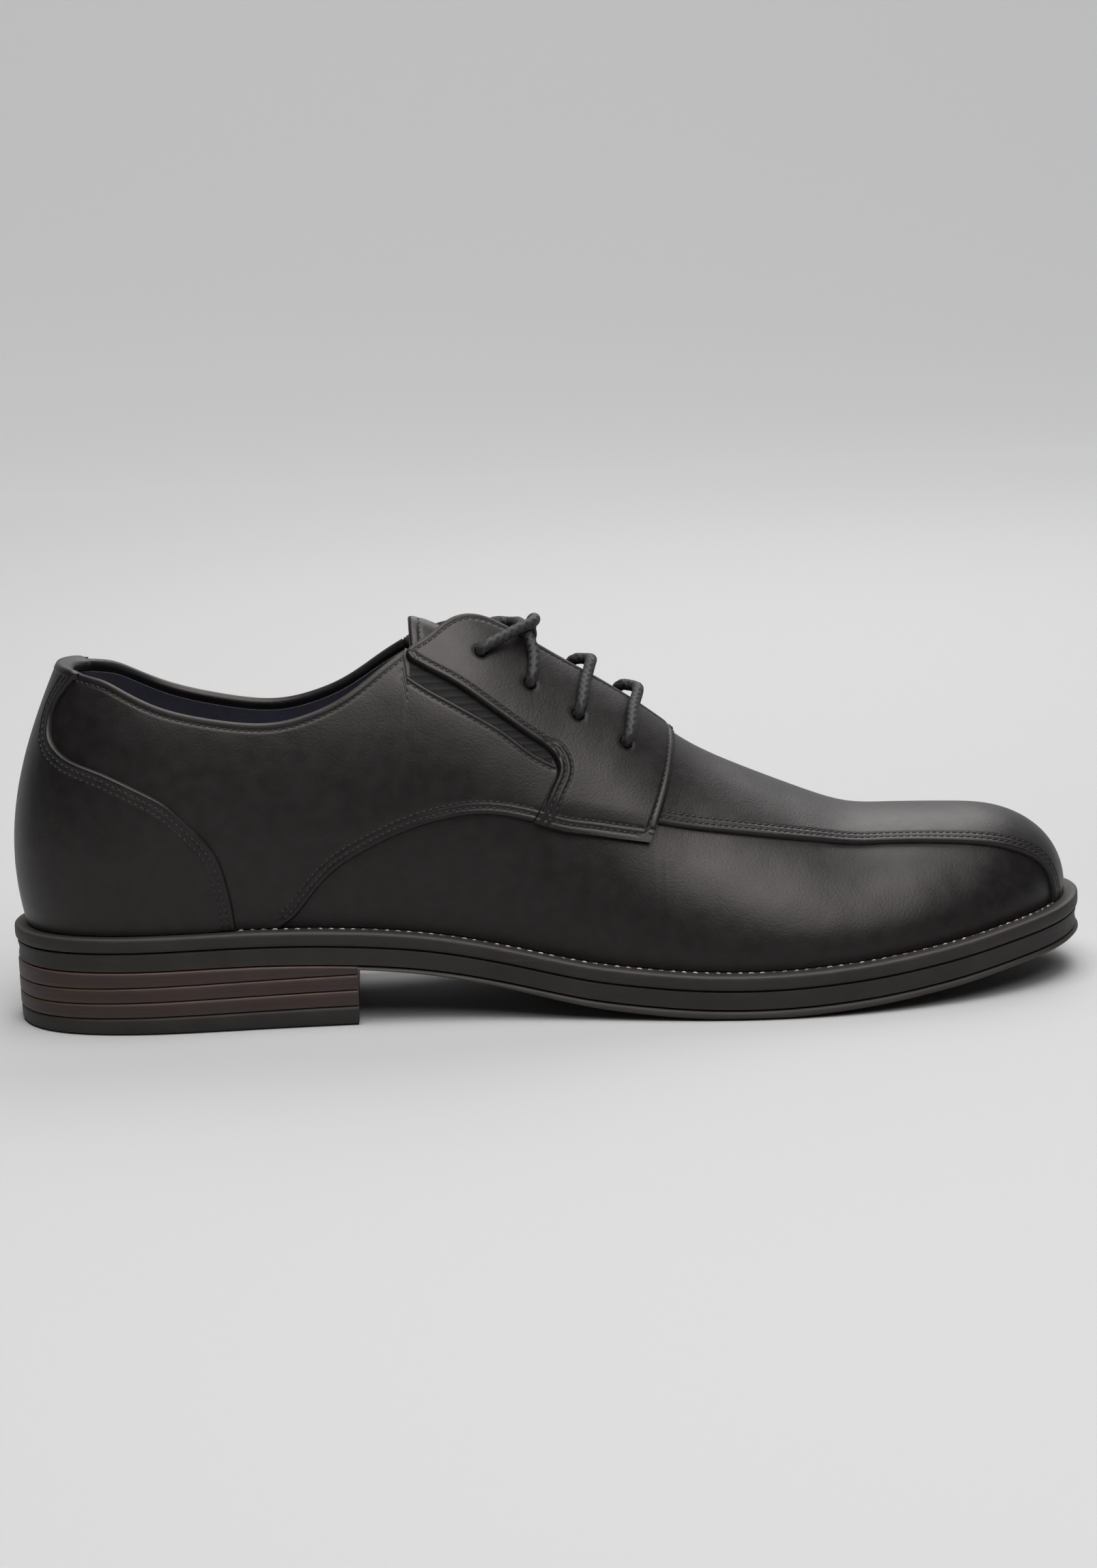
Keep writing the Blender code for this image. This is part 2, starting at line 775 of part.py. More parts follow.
def build_heel():
    back = -LENGTH / 2
    breast = back + HEEL_BREAST
    level = lambda ends: lambda x: ends[0] + (ends[1] - ends[0]) * (x - back) / HEEL_BREAST
    tops = [level(ends) for ends in LIFT_JOINTS] + [lambda x: seat(x) - WELT - MIDSOLE]
    lows = [lambda x: 0 * x] + tops[:-1]
    names = ["top_lift", "heel_lift_3", "heel_lift_2", "heel_lift_1"]
    for name, low, high in zip(names, lows, tops):
        side = TOP_LIFT_SIDE if name == "top_lift" else LIFT_SIDE
        floor = low if name == "top_lift" else lambda x, f=low: f(x) + CLEAR / 2
        roof = lambda x, f=high: f(x) - CLEAR / 2
        rings = [heel_ring(i, z, breast - i / 4, 19) for i, z in layer(side, floor, roof)]
        stack_rings(name, rings, SOLE_BLACK if name == "top_lift" else BROWN)


def build_counter():
    rise = np.array(COUNTER)[:, 0]
    around = np.linspace(-1, 1, 17)
    turn = around[:, None] * np.array(COUNTER)[None, :, 1]
    up = rise[None, :] * opening(turn)
    patch("counter", turn, up, SECOND_LEVEL + CLEAR / 2, SECOND_LEVEL + CLEAR / 2 + OVERLAY, BLACK)


def build_quarters():
    shared = np.abs(upper_turns())
    shared = np.sort(shared[(shared > 0.01) & (shared < COLLAR_END - 0.006)])
    corner = [COLLAR_END - 0.001, COLLAR_END + 0.001]
    high_turn = np.concatenate([[QUARTER_BACK], shared, corner, np.linspace(SLIT[1][0], QUARTER_FRONT, 7)])
    back = smooth(QUARTER_LEAN_START, QUARTER_FRONT, high_turn)
    low_turn = high_turn - (QUARTER_FRONT - QUARTER_LOW[-1][0] + HOOK_CLEAR) * back
    v = np.linspace(0, 1, 7)
    foot = np.where(low_turn < QUARTER_LOW[0][0], 0, column(QUARTER_LOW, low_turn, 1))
    for name, sign in (("quarter_lateral", -1), ("quarter_medial", 1)):
        top = np.where(high_turn < COLLAR_END, opening(sign * high_turn), column(SLIT, high_turn, 1))
        up = foot[:, None] + (top - foot)[:, None] * v
        turn = low_turn[:, None] + (high_turn - low_turn)[:, None] * v
        hook = column(HOOK, up[-1], 1) - HOOK_CLEAR - turn[-1]
        turn = turn + hook[None, :] * smooth(COLLAR_END, QUARTER_FRONT, high_turn)[:, None]
        patch(name, sign * turn, up, FIRST_LEVEL, FIRST_LEVEL + OVERLAY, BLACK)


def facing_grid(sign, rows=8):
    """turn and up over a facing; the inner one ends a little lower, so that it leaves the tongue showing."""
    table = np.array(FACING)
    v = np.linspace(0, 1, rows)
    high_up = table[:, 3]
    if sign > 0:
        high_up = high_up - INNER_FACING_DROP * smooth(FACING[0][2], EYELETS[0][0], table[:, 2])
    turn = table[:, None, 0] + (table[:, None, 2] - table[:, None, 0]) * v
    up = table[:, None, 1] + (high_up - table[:, 1])[:, None] * v
    bow = FRONT_BOW * smooth(len(table) - 5, len(table) - 1, np.arange(len(table)))
    return turn + bow[:, None] * 4 * v * (1 - v), up


def facing_top(turn, up, sign):
    """Distance of the facing's outside from the last; the outer facing stands a little proud at its edge."""
    lift = FACING_LIFT if sign < 0 else 0
    return SECOND_LEVEL + OVERLAY + lift * smooth(0.60, 0.95, up) * smooth(0.38, 0.44, np.abs(turn))


def build_facings():
    for name, sign in (("facing_lateral", -1), ("facing_medial", 1)):
        turn, up = facing_grid(sign)
        high = facing_top(turn, up, sign)
        lip = smooth(LIP_START, LIP_END, turn)
        low = high - OVERLAY - (SECOND_LEVEL - FIRST_LEVEL) * (1 - lip)
        points, faces = wall(skin(sign * turn, up, high), skin(sign * turn, up, low))
        flap = add_object(name, points, faces, BLACK)
        for number, (eye_turn, eye_up) in enumerate(EYELETS):
            ends = [skin(sign * eye_turn, eye_up, off) for off in (0.0, 0.01)]
            punch(flap, *ends, f"{name}_hole_{number}")


def punch(target, low, high, name):
    """A round hole through an object from one point to another."""
    low, high = np.asarray(low), np.asarray(high)
    axis = (high - low) / np.linalg.norm(high - low)
    across = np.cross(axis, [1.0, 0.0, 0.0])
    across /= np.linalg.norm(across)
    other = np.cross(axis, across)
    angle = np.arange(12) * 2 * np.pi / 12
    circle = EYELET / 2 * (np.cos(angle)[:, None] * across + np.sin(angle)[:, None] * other)
    points = np.concatenate([low + circle, high + circle])
    faces = [(i, (i + 1) % 12, 12 + (i + 1) % 12, 12 + i) for i in range(12)]
    faces += [tuple(range(12)), tuple(range(12, 24))]
    cutter = add_object(name, points, faces, BLACK)
    cutter.hide_render = True
    cutter.display_type = "WIRE"
    cut = target.modifiers.new(name, "BOOLEAN")
    cut.operation = "DIFFERENCE"
    cut.object = cutter


def build_gores():
    turn = np.linspace(COLLAR_END + 0.004, SLIT[-2][0] + 0.003, 13)
    gap = 0.004
    for name, sign in (("gore_lateral", -1), ("gore_medial", 1)):
        low = column(SLIT, turn, 1) + gap
        high = column(SLIT, turn, 2) - gap
        up = low[:, None] + (high - low)[:, None] * np.linspace(0, 1, 3)
        patch(name, sign * np.repeat(turn[:, None], 3, 1), up, FIRST_LEVEL, FIRST_LEVEL + GORE, ELASTIC)


def strip_lines(across):
    """turn and up along lines of the strip, from under the facings to the feather at the toe."""
    side = np.where(across < 0, -1, 1)[:, None]
    width = np.abs(across)[:, None]
    start = STRIP_START + STRIP_START_BOW * (1 - across**2)
    body_x = (start[:, None] + (STRIP_TOE_START - start)[:, None] * np.linspace(0, 1, 8) - 0.5) * LENGTH
    edge = column(STRIP, np.abs(np.where(side < 0, middle_turns(body_x, -1), middle_turns(body_x, 1))), 1)
    body_up = 1 - (1 - edge) * width
    body_turn = np.where(side < 0, at_x(body_x, body_up, -1), at_x(body_x, body_up, 1))
    away = last_point(body_turn[:, -1], body_up[:, -1])[:, 1] - ridge(body_x[:, -1])[1]
    toe_x = (np.linspace(STRIP_TOE_START, STRIP_FRONT, 5)[1:] - 0.5) * LENGTH
    toe_y = ridge(toe_x)[1] + away[:, None] * column(STRIP_TOE, share_along(toe_x), 1)
    toe_turn, toe_up = on_plan(toe_x[None, :], toe_y, body_up[:, -1:])
    front_turn, front_up = toe_front(toe_x[-1], away, toe_up[:, -1])
    turn = np.concatenate([body_turn, toe_turn, front_turn], 1)
    up = np.concatenate([body_up, toe_up, front_up], 1)
    return turn, up


def toe_front(first_x, away, first_up, rows=10):
    """turn and up of the strip's lines down the front of the toe, drawing together as they go."""
    down = np.linspace(0, 1, rows + 1)[1:]
    up = first_up[:, None] * (1 - down)
    x = first_x + (LENGTH / 2 - FEATHER_INSET_TOE - first_x) * np.sin(down * np.pi / 2)
    y = ridge(first_x)[1] + away[:, None] * column(STRIP_TOE, share_along(x), 1)
    side = np.where(y < last_point(1.0, up)[..., 1], -1.0, 1.0)
    low, high = np.full_like(up, 0.75), np.ones_like(up)
    for _ in range(40):
        middle = (low + high) / 2
        short = (last_point(side * middle, up)[..., 1] - y) * side > 0
        low, high = np.where(short, middle, low), np.where(short, high, middle)
    return side * (low + high) / 2, up


def build_strip():
    turn, up = strip_lines(np.linspace(-1, 1, 11))
    patch("vamp_strip", turn, up, FIRST_LEVEL + CLEAR / 2, FIRST_LEVEL + CLEAR / 2 + OVERLAY, BLACK)


def build_tongue():
    across = np.linspace(-1, 1, 11)
    x = (np.linspace(TONGUE_TOP, TONGUE_END, 10) - 0.5) * LENGTH
    widening = smooth(TONGUE_TOP, 0.5, share_along(x))
    half = TONGUE_ANKLE_HALF_WIDTH + (TONGUE_HALF_WIDTH - TONGUE_ANKLE_HALF_WIDTH) * widening
    middle = ridge(x)[1]
    away = across[:, None] * half
    eased = np.where(away < 0, -1, 1) * np.hypot(away, TONGUE_CROWN)
    turn, up = on_plan(x[None, :], middle + eased, 0.8)
    lift = TONGUE_LIFT * (1 - smooth(TONGUE_TOP, 0.435, share_along(x))) * (1 - 0.35 * across[:, None]**2)
    grids = [skin(turn, up, off) for off in (-BEND_CLEAR, -BEND_CLEAR - TONGUE)]
    for grid in grids:
        grid[..., 1] += away - eased
        grid[..., 2] += lift
    points, faces = wall(*grids)
    add_object("tongue", points, faces, BLACK)


def lace_route(rows, eye_turn=0.0):
    """Points of a lace over the facings: rows of turn, share of the way up to the edge, and rise."""
    rows = np.array(rows, float)
    crest = int(np.argmax(rows[:, 1]))
    side = np.where(np.arange(len(rows)) < crest, -1, 1)
    turn = rows[:, 0] + eye_turn
    eye_up = column(EYELETS, turn, 1)
    edge = np.where(side < 0, FACING[4][3], FACING[4][3] - INNER_FACING_DROP)
    up = np.minimum(eye_up + (edge - eye_up) * rows[:, 1], 1.0)
    off = np.where(side < 0, facing_top(turn, up, -1), facing_top(turn, up, 1)) + CLEAR + LACE * (0.5 + rows[:, 2])
    points = skin(side * turn, up, off)
    way = np.append(0, np.cumsum(np.linalg.norm(np.diff(points, axis=0), axis=1)))
    at = np.linspace(0, way[-1], LACE_POINTS)
    return np.stack([spline(way, points[:, k], at) for k in range(3)], -1)


def cord(name, points):
    """A round lace along its points, closed at both ends."""
    curve = bpy.data.curves.new(name, "CURVE")
    curve.dimensions = "3D"
    curve.bevel_depth = LACE / 2
    curve.bevel_resolution = 2
    curve.use_fill_caps = True
    line = curve.splines.new("POLY")
    line.points.add(len(points) - 1)
    for point, place in zip(line.points, points):
        point.co = (*place, 1)
    curve.materials.append(material(name, BLACK, 0.6))
    made = bpy.data.objects.new(name, curve)
    bpy.context.scene.collection.objects.link(made)
    return made


def build_laces():
    cord("lace_bar_1", lace_route(LACE_BAR, EYELETS[3][0]))
    cord("lace_bar_2", lace_route(LACE_BAR, EYELETS[2][0]))
    crossing = as_mesh(cord("lace_crossing", lace_route(LACE_OVER)))
    under = as_mesh(cord("lace_crossing_under", lace_route(LACE_UNDER)))
    under.hide_render = True
    under.display_type = "WIRE"
    join = crossing.modifiers.new("join", "BOOLEAN")
    join.operation = "UNION"
    join.object = under


def as_mesh(tube):
    """The tube as a closed mesh in place of its curve, so that it can be joined."""
    name = tube.name
    graph = bpy.context.evaluated_depsgraph_get()
    mesh = bpy.data.meshes.new_from_object(tube.evaluated_get(graph))
    curve = tube.data
    bpy.data.objects.remove(tube)
    bpy.data.curves.remove(curve)
    shape = bmesh.new()
    shape.from_mesh(mesh)
    bmesh.ops.remove_doubles(shape, verts=shape.verts, dist=1e-6)
    bmesh.ops.recalc_face_normals(shape, faces=shape.faces)
    shape.to_mesh(mesh)
    shape.free()
    made = bpy.data.objects.new(name, mesh)
    bpy.context.scene.collection.objects.link(made)
    return made


def clear_scene():
    for old in list(bpy.data.objects):
        bpy.data.objects.remove(old)


def main():
    clear_scene()
    build_sole()
    build_heel()
    build_upper()
    build_counter()
    build_quarters()
    build_facings()
    build_gores()
    build_strip()
    build_tongue()
    build_laces()


if __name__ == "__main__":
    main()
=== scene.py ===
"""Looks of the black bicycle toe dress shoe: leather panels, seams, lace, lining and the built-up sole.

Every leather piece is one surface over the last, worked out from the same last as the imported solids:
turn goes round the feather from the heel's back (0) to the toe's tip (1, or -1 on the outer side), and
up goes from the feather (0) to the ridge (1). Lengths are in metres."""

import math

import bmesh
import bpy
import numpy as np
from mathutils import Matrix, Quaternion, Vector


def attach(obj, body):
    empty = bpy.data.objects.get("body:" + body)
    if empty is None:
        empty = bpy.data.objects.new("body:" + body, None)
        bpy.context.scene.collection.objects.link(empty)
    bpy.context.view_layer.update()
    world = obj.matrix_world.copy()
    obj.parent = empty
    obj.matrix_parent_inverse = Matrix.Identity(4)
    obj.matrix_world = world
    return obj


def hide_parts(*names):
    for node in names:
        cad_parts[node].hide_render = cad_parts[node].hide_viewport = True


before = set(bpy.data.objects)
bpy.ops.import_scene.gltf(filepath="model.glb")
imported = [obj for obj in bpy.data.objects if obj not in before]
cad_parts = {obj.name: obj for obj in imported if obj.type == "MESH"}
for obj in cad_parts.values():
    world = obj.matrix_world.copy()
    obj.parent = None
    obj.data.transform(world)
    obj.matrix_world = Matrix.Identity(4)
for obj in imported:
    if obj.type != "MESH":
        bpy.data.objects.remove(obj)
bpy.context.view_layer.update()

bl_info = {
    "name": "Bicycle Toe Shoe",
    "version": (1, 0, 0),
    "blender": (4, 5, 0),
    "location": "View3D > Sidebar > Shoe",
    "description": "Builds the leather, seams, lace and sole of a black dress shoe around its packed solids",
    "category": "Add Mesh",
}

BODY = "root"

# Sizes of the last and the sole, as in the solids
LENGTH = 0.305
BALL_WIDTH = 0.104
HEEL_RISE = 0.0153
TOE_RISE = 0.0100
INSTEP_HEIGHT = 0.0955
TOE_HEIGHT = 0.0448
COLLAR_HEIGHT = 0.0850
HEEL_RADIUS = 0.0325
TOE_RADIUS = 0.0330
FEATHER_INSET_HEEL = 0.0080
FEATHER_INSET_TOE = 0.0070
TREAD = 0.0026
MIDSOLE = 0.0055
WELT = 0.0042
WELT_WIDTH = 0.0120
INSOLE = 0.0025
HEEL_BREAST = 0.0971
CLEAR = 0.0003
WALL = 0.0016
OVERLAY = 0.0008
BEND_CLEAR = 0.0005
TONGUE = 0.0023
TONGUE_ANKLE_HALF_WIDTH = 0.0145
TONGUE_HALF_WIDTH = 0.0200
TONGUE_LIFT = 0.0042
TONGUE_CROWN = 0.0070
FACING_LIFT = 0.0007
LACE = 0.0033
EYELET = 0.0036
FIRST_LEVEL = WALL + BEND_CLEAR
SECOND_LEVEL = FIRST_LEVEL + OVERLAY + BEND_CLEAR
QUARTER_TOP = FIRST_LEVEL + OVERLAY
STRIP_TOP = FIRST_LEVEL + CLEAR / 2 + OVERLAY
COUNTER_TOP = SECOND_LEVEL + CLEAR / 2 + OVERLAY

# Softness of the corners where the last's sections start to fan out round the heel and the toe
FAN_SOFTNESS = 0.007

# Outline of the sole: shares of the length from the heel, and of the ball width to the inner side
OUTLINE = (
    (0.000, 0.000), (0.030, -0.215), (0.100, -0.312), (0.210, -0.328), (0.330, -0.330), (0.450, -0.362),
    (0.570, -0.440), (0.680, -0.500), (0.780, -0.490), (0.870, -0.420), (0.935, -0.318), (0.978, -0.190),
    (1.000, 0.010), (0.990, 0.165), (0.960, 0.275), (0.900, 0.385), (0.820, 0.462), (0.735, 0.495),
    (0.650, 0.465), (0.550, 0.385), (0.440, 0.308), (0.330, 0.290), (0.210, 0.312), (0.100, 0.308),
    (0.030, 0.215),
)
TIP_ROW = 12

# Top of the welt: place along, share of the heel's rise, share of the toe's rise
SEAT_LINE = (
    (0.000, 1.000, 0.00), (0.120, 0.990, 0.00), (0.218, 1.000, 0.00), (0.316, 0.922, 0.00),
    (0.382, 0.791, 0.00), (0.431, 0.620, 0.00), (0.480, 0.405, 0.00), (0.525, 0.216, 0.00),
    (0.572, 0.098, 0.00), (0.611, 0.035, 0.00), (0.670, 0.000, 0.00), (0.710, 0.000, 0.02),
    (0.749, 0.000, 0.08), (0.792, 0.000, 0.18), (0.831, 0.000, 0.31), (0.874, 0.000, 0.48),
    (0.920, 0.000, 0.69), (0.969, 0.000, 0.87), (1.000, 0.000, 1.00),
)

# Ridge of the last: place along, share of the way up from toe to instep height, place to the inner side
RIDGE = (
    (0.000, 1.590, 0.000), (0.100, 1.590, 0.000), (0.200, 1.545, 0.000), (0.300, 1.440, 0.000),
    (0.370, 1.350, 0.000), (0.435, 1.255, 0.008), (0.500, 1.000, 0.018), (0.545, 0.815, 0.025),
    (0.585, 0.640, 0.032), (0.625, 0.452, 0.040), (0.667, 0.309, 0.045), (0.697, 0.226, 0.048),
    (0.743, 0.106, 0.050), (0.785, 0.020, 0.050), (0.830, 0.000, 0.046), (0.900, -0.010, 0.030),
    (1.000, -0.010, 0.020),
)

# Section of the last by share of the way round: out, up, reach, drop
SECTIONS = (
    (0.000, 0.38, 0.39, 0.49, 0.31), (0.070, 0.34, 0.39, 0.68, 0.30), (0.137, 0.27, 0.39, 0.96, 0.28),
    (0.200, 0.20, 0.40, 1.00, 0.28), (0.270, 0.12, 0.40, 0.92, 0.28), (0.345, 0.06, 0.41, 0.93, 0.28),
    (0.390, 0.05, 0.42, 0.98, 0.26), (0.450, 0.04, 0.43, 0.86, 0.18), (0.500, 0.04, 0.44, 0.68, 0.10),
    (0.550, 0.04, 0.45, 0.54, 0.04), (0.600, 0.04, 0.46, 0.44, 0.00), (0.660, 0.04, 0.48, 0.44, 0.00),
    (0.720, 0.04, 0.50, 0.48, 0.00), (0.770, 0.04, 0.51, 0.54, 0.00), (0.850, 0.03, 0.51, 0.62, 0.00),
    (0.920, 0.03, 0.51, 0.71, 0.01), (1.000, 0.05, 0.50, 0.75, 0.03),
)

# Height of the collar by place along, as shares of its lowest height
COLLAR = (
    (0.000, 1.178), (0.060, 1.176), (0.078, 1.166), (0.090, 1.156), (0.103, 1.144), (0.120, 1.113),
    (0.146, 1.065), (0.175, 1.030), (0.202, 1.008), (0.230, 0.992), (0.257, 0.990), (0.287, 1.012),
    (0.317, 1.055), (0.336, 1.096), (0.357, 1.146), (0.373, 1.180), (0.420, 1.280),
)
COLLAR_END = 0.377

# Edge of the wall round the throat: turn, up
THROAT = (
    (0.377, 0.840), (0.411, 0.775), (0.439, 0.710), (0.469, 0.655), (0.490, 0.620), (0.515, 0.590),
    (0.540, 0.580), (0.556, 0.600), (0.566, 0.680), (0.576, 0.850), (0.584, 1.000),
)
THROAT_END = 0.584

# Slit with the elastic: turn, up of the quarter's edge, up of the facing's edge
SLIT = (
    (0.377, 0.750, 0.800), (0.394, 0.705, 0.760), (0.411, 0.668, 0.724), (0.425, 0.640, 0.690),
    (0.439, 0.617, 0.657), (0.454, 0.592, 0.628), (0.469, 0.563, 0.603), (0.487, 0.545, 0.569),
)

# Seam that hooks down from the slit: up, turn
HOOK = (
    (0.350, 0.4710), (0.400, 0.4780), (0.480, 0.4870), (0.535, 0.4910), (0.569, 0.4870),
)
HOOK_CLEAR = 0.0015
QUARTER_FRONT = 0.4885
QUARTER_BACK = 0.005
QUARTER_LEAN_START = 0.250

# Lower edge of the quarter: turn, up
QUARTER_LOW = (
    (0.268, 0.000), (0.279, 0.022), (0.293, 0.075), (0.311, 0.142), (0.337, 0.205), (0.375, 0.276),
    (0.397, 0.306), (0.421, 0.331), (0.445, 0.346), (0.471, 0.352),
)

# Facing: turn and up of its lower edge, turn and up of its top edge
FACING = (
    (0.3800, 0.793, 0.3775, 0.812), (0.3940, 0.760, 0.3890, 0.858), (0.4110, 0.724, 0.4020, 0.902),
    (0.4250, 0.690, 0.4170, 0.948), (0.4390, 0.657, 0.4370, 0.970), (0.4540, 0.628, 0.4590, 0.970),
    (0.4690, 0.603, 0.4810, 0.970), (0.4870, 0.569, 0.5000, 0.970), (0.4910, 0.535, 0.5120, 0.970),
    (0.4870, 0.480, 0.5240, 0.970), (0.4780, 0.400, 0.5370, 0.970), (0.4710, 0.352, 0.5480, 0.970),
    (0.4940, 0.351, 0.5580, 0.970), (0.5170, 0.361, 0.5680, 0.970), (0.5400, 0.371, 0.5780, 0.967),
    (0.5630, 0.385, 0.5850, 0.950),
)
INNER_FACING_DROP = 0.045
FRONT_BOW = 0.008
LIP_START = 0.530
LIP_END = 0.556

# Edge of the heel counter: share of the way up to the collar, turn
COUNTER = (
    (0.000, 0.234), (0.110, 0.232), (0.230, 0.228), (0.340, 0.222), (0.440, 0.209), (0.530, 0.191),
    (0.585, 0.173), (0.612, 0.151), (0.632, 0.129), (0.652, 0.108), (0.682, 0.089), (0.718, 0.075),
    (0.777, 0.066), (0.850, 0.067), (0.930, 0.085), (1.000, 0.101),
)

# Edge of the strip between the bicycle seams: turn, up; then over the toe: place along, share of its width
STRIP = (
    (0.540, 0.435), (0.571, 0.460), (0.613, 0.502), (0.649, 0.536), (0.687, 0.571), (0.725, 0.610),
    (0.766, 0.640), (0.800, 0.645),
)
STRIP_TOE = (
    (0.800, 1.00), (0.850, 0.97), (0.890, 0.91), (0.922, 0.82), (0.943, 0.75), (1.000, 0.69),
)
STRIP_START = 0.585
STRIP_START_BOW = 0.016
STRIP_TOE_START = 0.805
STRIP_FRONT = 0.885

# Eyelets from the ankle to the throat: turn, up
EYELETS = (
    (0.433, 0.833), (0.469, 0.778), (0.507, 0.732), (0.545, 0.695),
)
TONGUE_TOP = 0.380
TONGUE_END = 0.630

# Thickness of the tread layer along the sole, and heights of the joints in the heel at its back and breast
TREAD_LINE = (
    (0.310, 0.45), (0.450, 0.72), (0.560, 0.97), (0.630, 1.06), (0.700, 1.06), (0.780, 0.97),
    (0.920, 0.82), (1.000, 0.64),
)
LIFT_JOINTS = (
    (0.0045, 0.0055), (0.0086, 0.0100), (0.0128, 0.0144),
)


def spline(knots, values, at, closed=False):
    """Cubic spline through the rows with steady curvature: each piece is worked out from the bends at its
    two ends, and the bends come from one linear system. closed where the last row repeats the first."""
    x, y, at = (np.asarray(v, float) for v in (knots, values, at))
    rows = len(x)
    width = np.diff(x)
    slope = np.diff(y) / width
    size = rows - 1 if closed else rows
    matrix = np.zeros((size, size))
    right = np.zeros(size)
    for i in range(0 if closed else 1, rows - 1):
        before = (i - 1) % (rows - 1)
        matrix[i, before] += width[before]
        matrix[i, i] += 2 * (width[before] + width[i])
        matrix[i, (i + 1) % size] += width[i]
        right[i] = 6 * (slope[i] - slope[before])
    if not closed:
        matrix[0, 0] = matrix[-1, -1] = 1
    bend = np.linalg.solve(matrix, right)
    if closed:
        bend = np.append(bend, bend[0])
    i = np.clip(np.searchsorted(x, at, side="right") - 1, 0, rows - 2)
    past, left, w = at - x[i], x[i + 1] - at, width[i]
    curve = (bend[i] * left**3 + bend[i + 1] * past**3) / (6 * w)
    return curve + (y[i] / w - bend[i] * w / 6) * left + (y[i + 1] / w - bend[i + 1] * w / 6) * past


def column(table, at, number):
    """A table's column read between its rows, at shares kept inside the table."""
    rows = np.array(table)
    at = np.clip(at, rows[0, 0], rows[-1, 0])
    return spline(rows[:, 0], rows[:, number], at)


def smooth(low, high, at):
    """Ease from 0 at low to 1 at high: 3 s squared less 2 s cubed."""
    share = np.clip((at - low) / (high - low), 0, 1)
    return share * share * (3 - 2 * share)


PLAN = np.array(OUTLINE + OUTLINE[:1]) * [LENGTH, BALL_WIDTH]
WAY = np.append(0, np.cumsum(np.hypot(*np.diff(PLAN, axis=0).T)))
WHOLE_WAY = WAY[-1]
TIP_WAY = WAY[TIP_ROW]


def plan_at(way):
    """x and y of the closed spline through the outline's rows, before it is fitted to its length."""
    return np.stack([spline(WAY, PLAN[:, k], way % WHOLE_WAY, closed=True) for k in (0, 1)], -1)


FINE = plan_at(np.linspace(0, WHOLE_WAY, 4001))
PLAN_LOW, PLAN_HIGH = FINE.min(0), FINE.max(0)


def rim(turn, inset=0.0):
    """x and y of the sole's outline drawn in by inset along its normal."""
    turn = np.asarray(turn, float)
    way = np.where(turn < 0, -turn * TIP_WAY, WHOLE_WAY - turn * (WHOLE_WAY - TIP_WAY))
    scale = np.array([LENGTH, BALL_WIDTH]) / (PLAN_HIGH - PLAN_LOW)
    step = 1e-4 * WHOLE_WAY
    here, ahead, behind = (plan_at(way + k) for k in (0, step, -step))
    along = (ahead - behind) * scale
    out = np.stack([along[..., 1], -along[..., 0]], -1)
    out /= np.linalg.norm(out, axis=-1, keepdims=True)
    return (here - (PLAN_LOW + PLAN_HIGH) / 2) * scale - out * np.asarray(inset)[..., None]


def share_along(x):
    """Share of the way from the heel's back to the toe's tip."""
    return np.asarray(x) / LENGTH + 0.5


def seat(x):
    """Height of the welt's top: its lowest height, the heel's rise and the toe's rise added."""
    along = share_along(x)
    low = TREAD + MIDSOLE + WELT
    return low + HEEL_RISE * column(SEAT_LINE, along, 1) + TOE_RISE * column(SEAT_LINE, along, 2)


def ridge(x):
    """Height and sideways place of the last's ridge."""
    along = share_along(x)
    height = TOE_HEIGHT + (INSTEP_HEIGHT - TOE_HEIGHT) * column(RIDGE, along, 1)
    return height, BALL_WIDTH * column(RIDGE, along, 2)


def between(x, low, high, soft):
    """x held between two values, with soft corners: the logarithm of one plus an exponential at each end."""
    x = low + soft * np.logaddexp(0, (x - low) / soft)
    return high - soft * np.logaddexp(0, (high - x) / soft)


def last_point(turn, up):
    """Point of the last: a cubic Bezier from the feather, out and up, then over to the ridge."""
    turn, up = np.broadcast_arrays(np.asarray(turn, float), np.asarray(up, float))
    toe_share = np.abs(turn)
    foot = rim(turn, FEATHER_INSET_HEEL + (FEATHER_INSET_TOE - FEATHER_INSET_HEEL) * toe_share)
    centre = between(foot[..., 0], -LENGTH / 2 + HEEL_RADIUS, LENGTH / 2 - TOE_RADIUS, FAN_SOFTNESS)
    top, middle = ridge(centre)
    low = seat(foot[..., 0]) + CLEAR
    out, rise, reach, drop = (column(SECTIONS, toe_share, k) for k in (1, 2, 3, 4))
    a, b, c, d = (1 - up) ** 3, 3 * up * (1 - up) ** 2, 3 * up**2 * (1 - up), up**3
    wide = a + b * (1 + out) + c * reach
    height = top - low
    z = a * low + b * (low + rise * height) + c * (top - drop * height) + d * top
    x = centre + (foot[..., 0] - centre) * wide
    y = middle + (foot[..., 1] - middle) * wide
    return np.stack([x, y, z], -1)


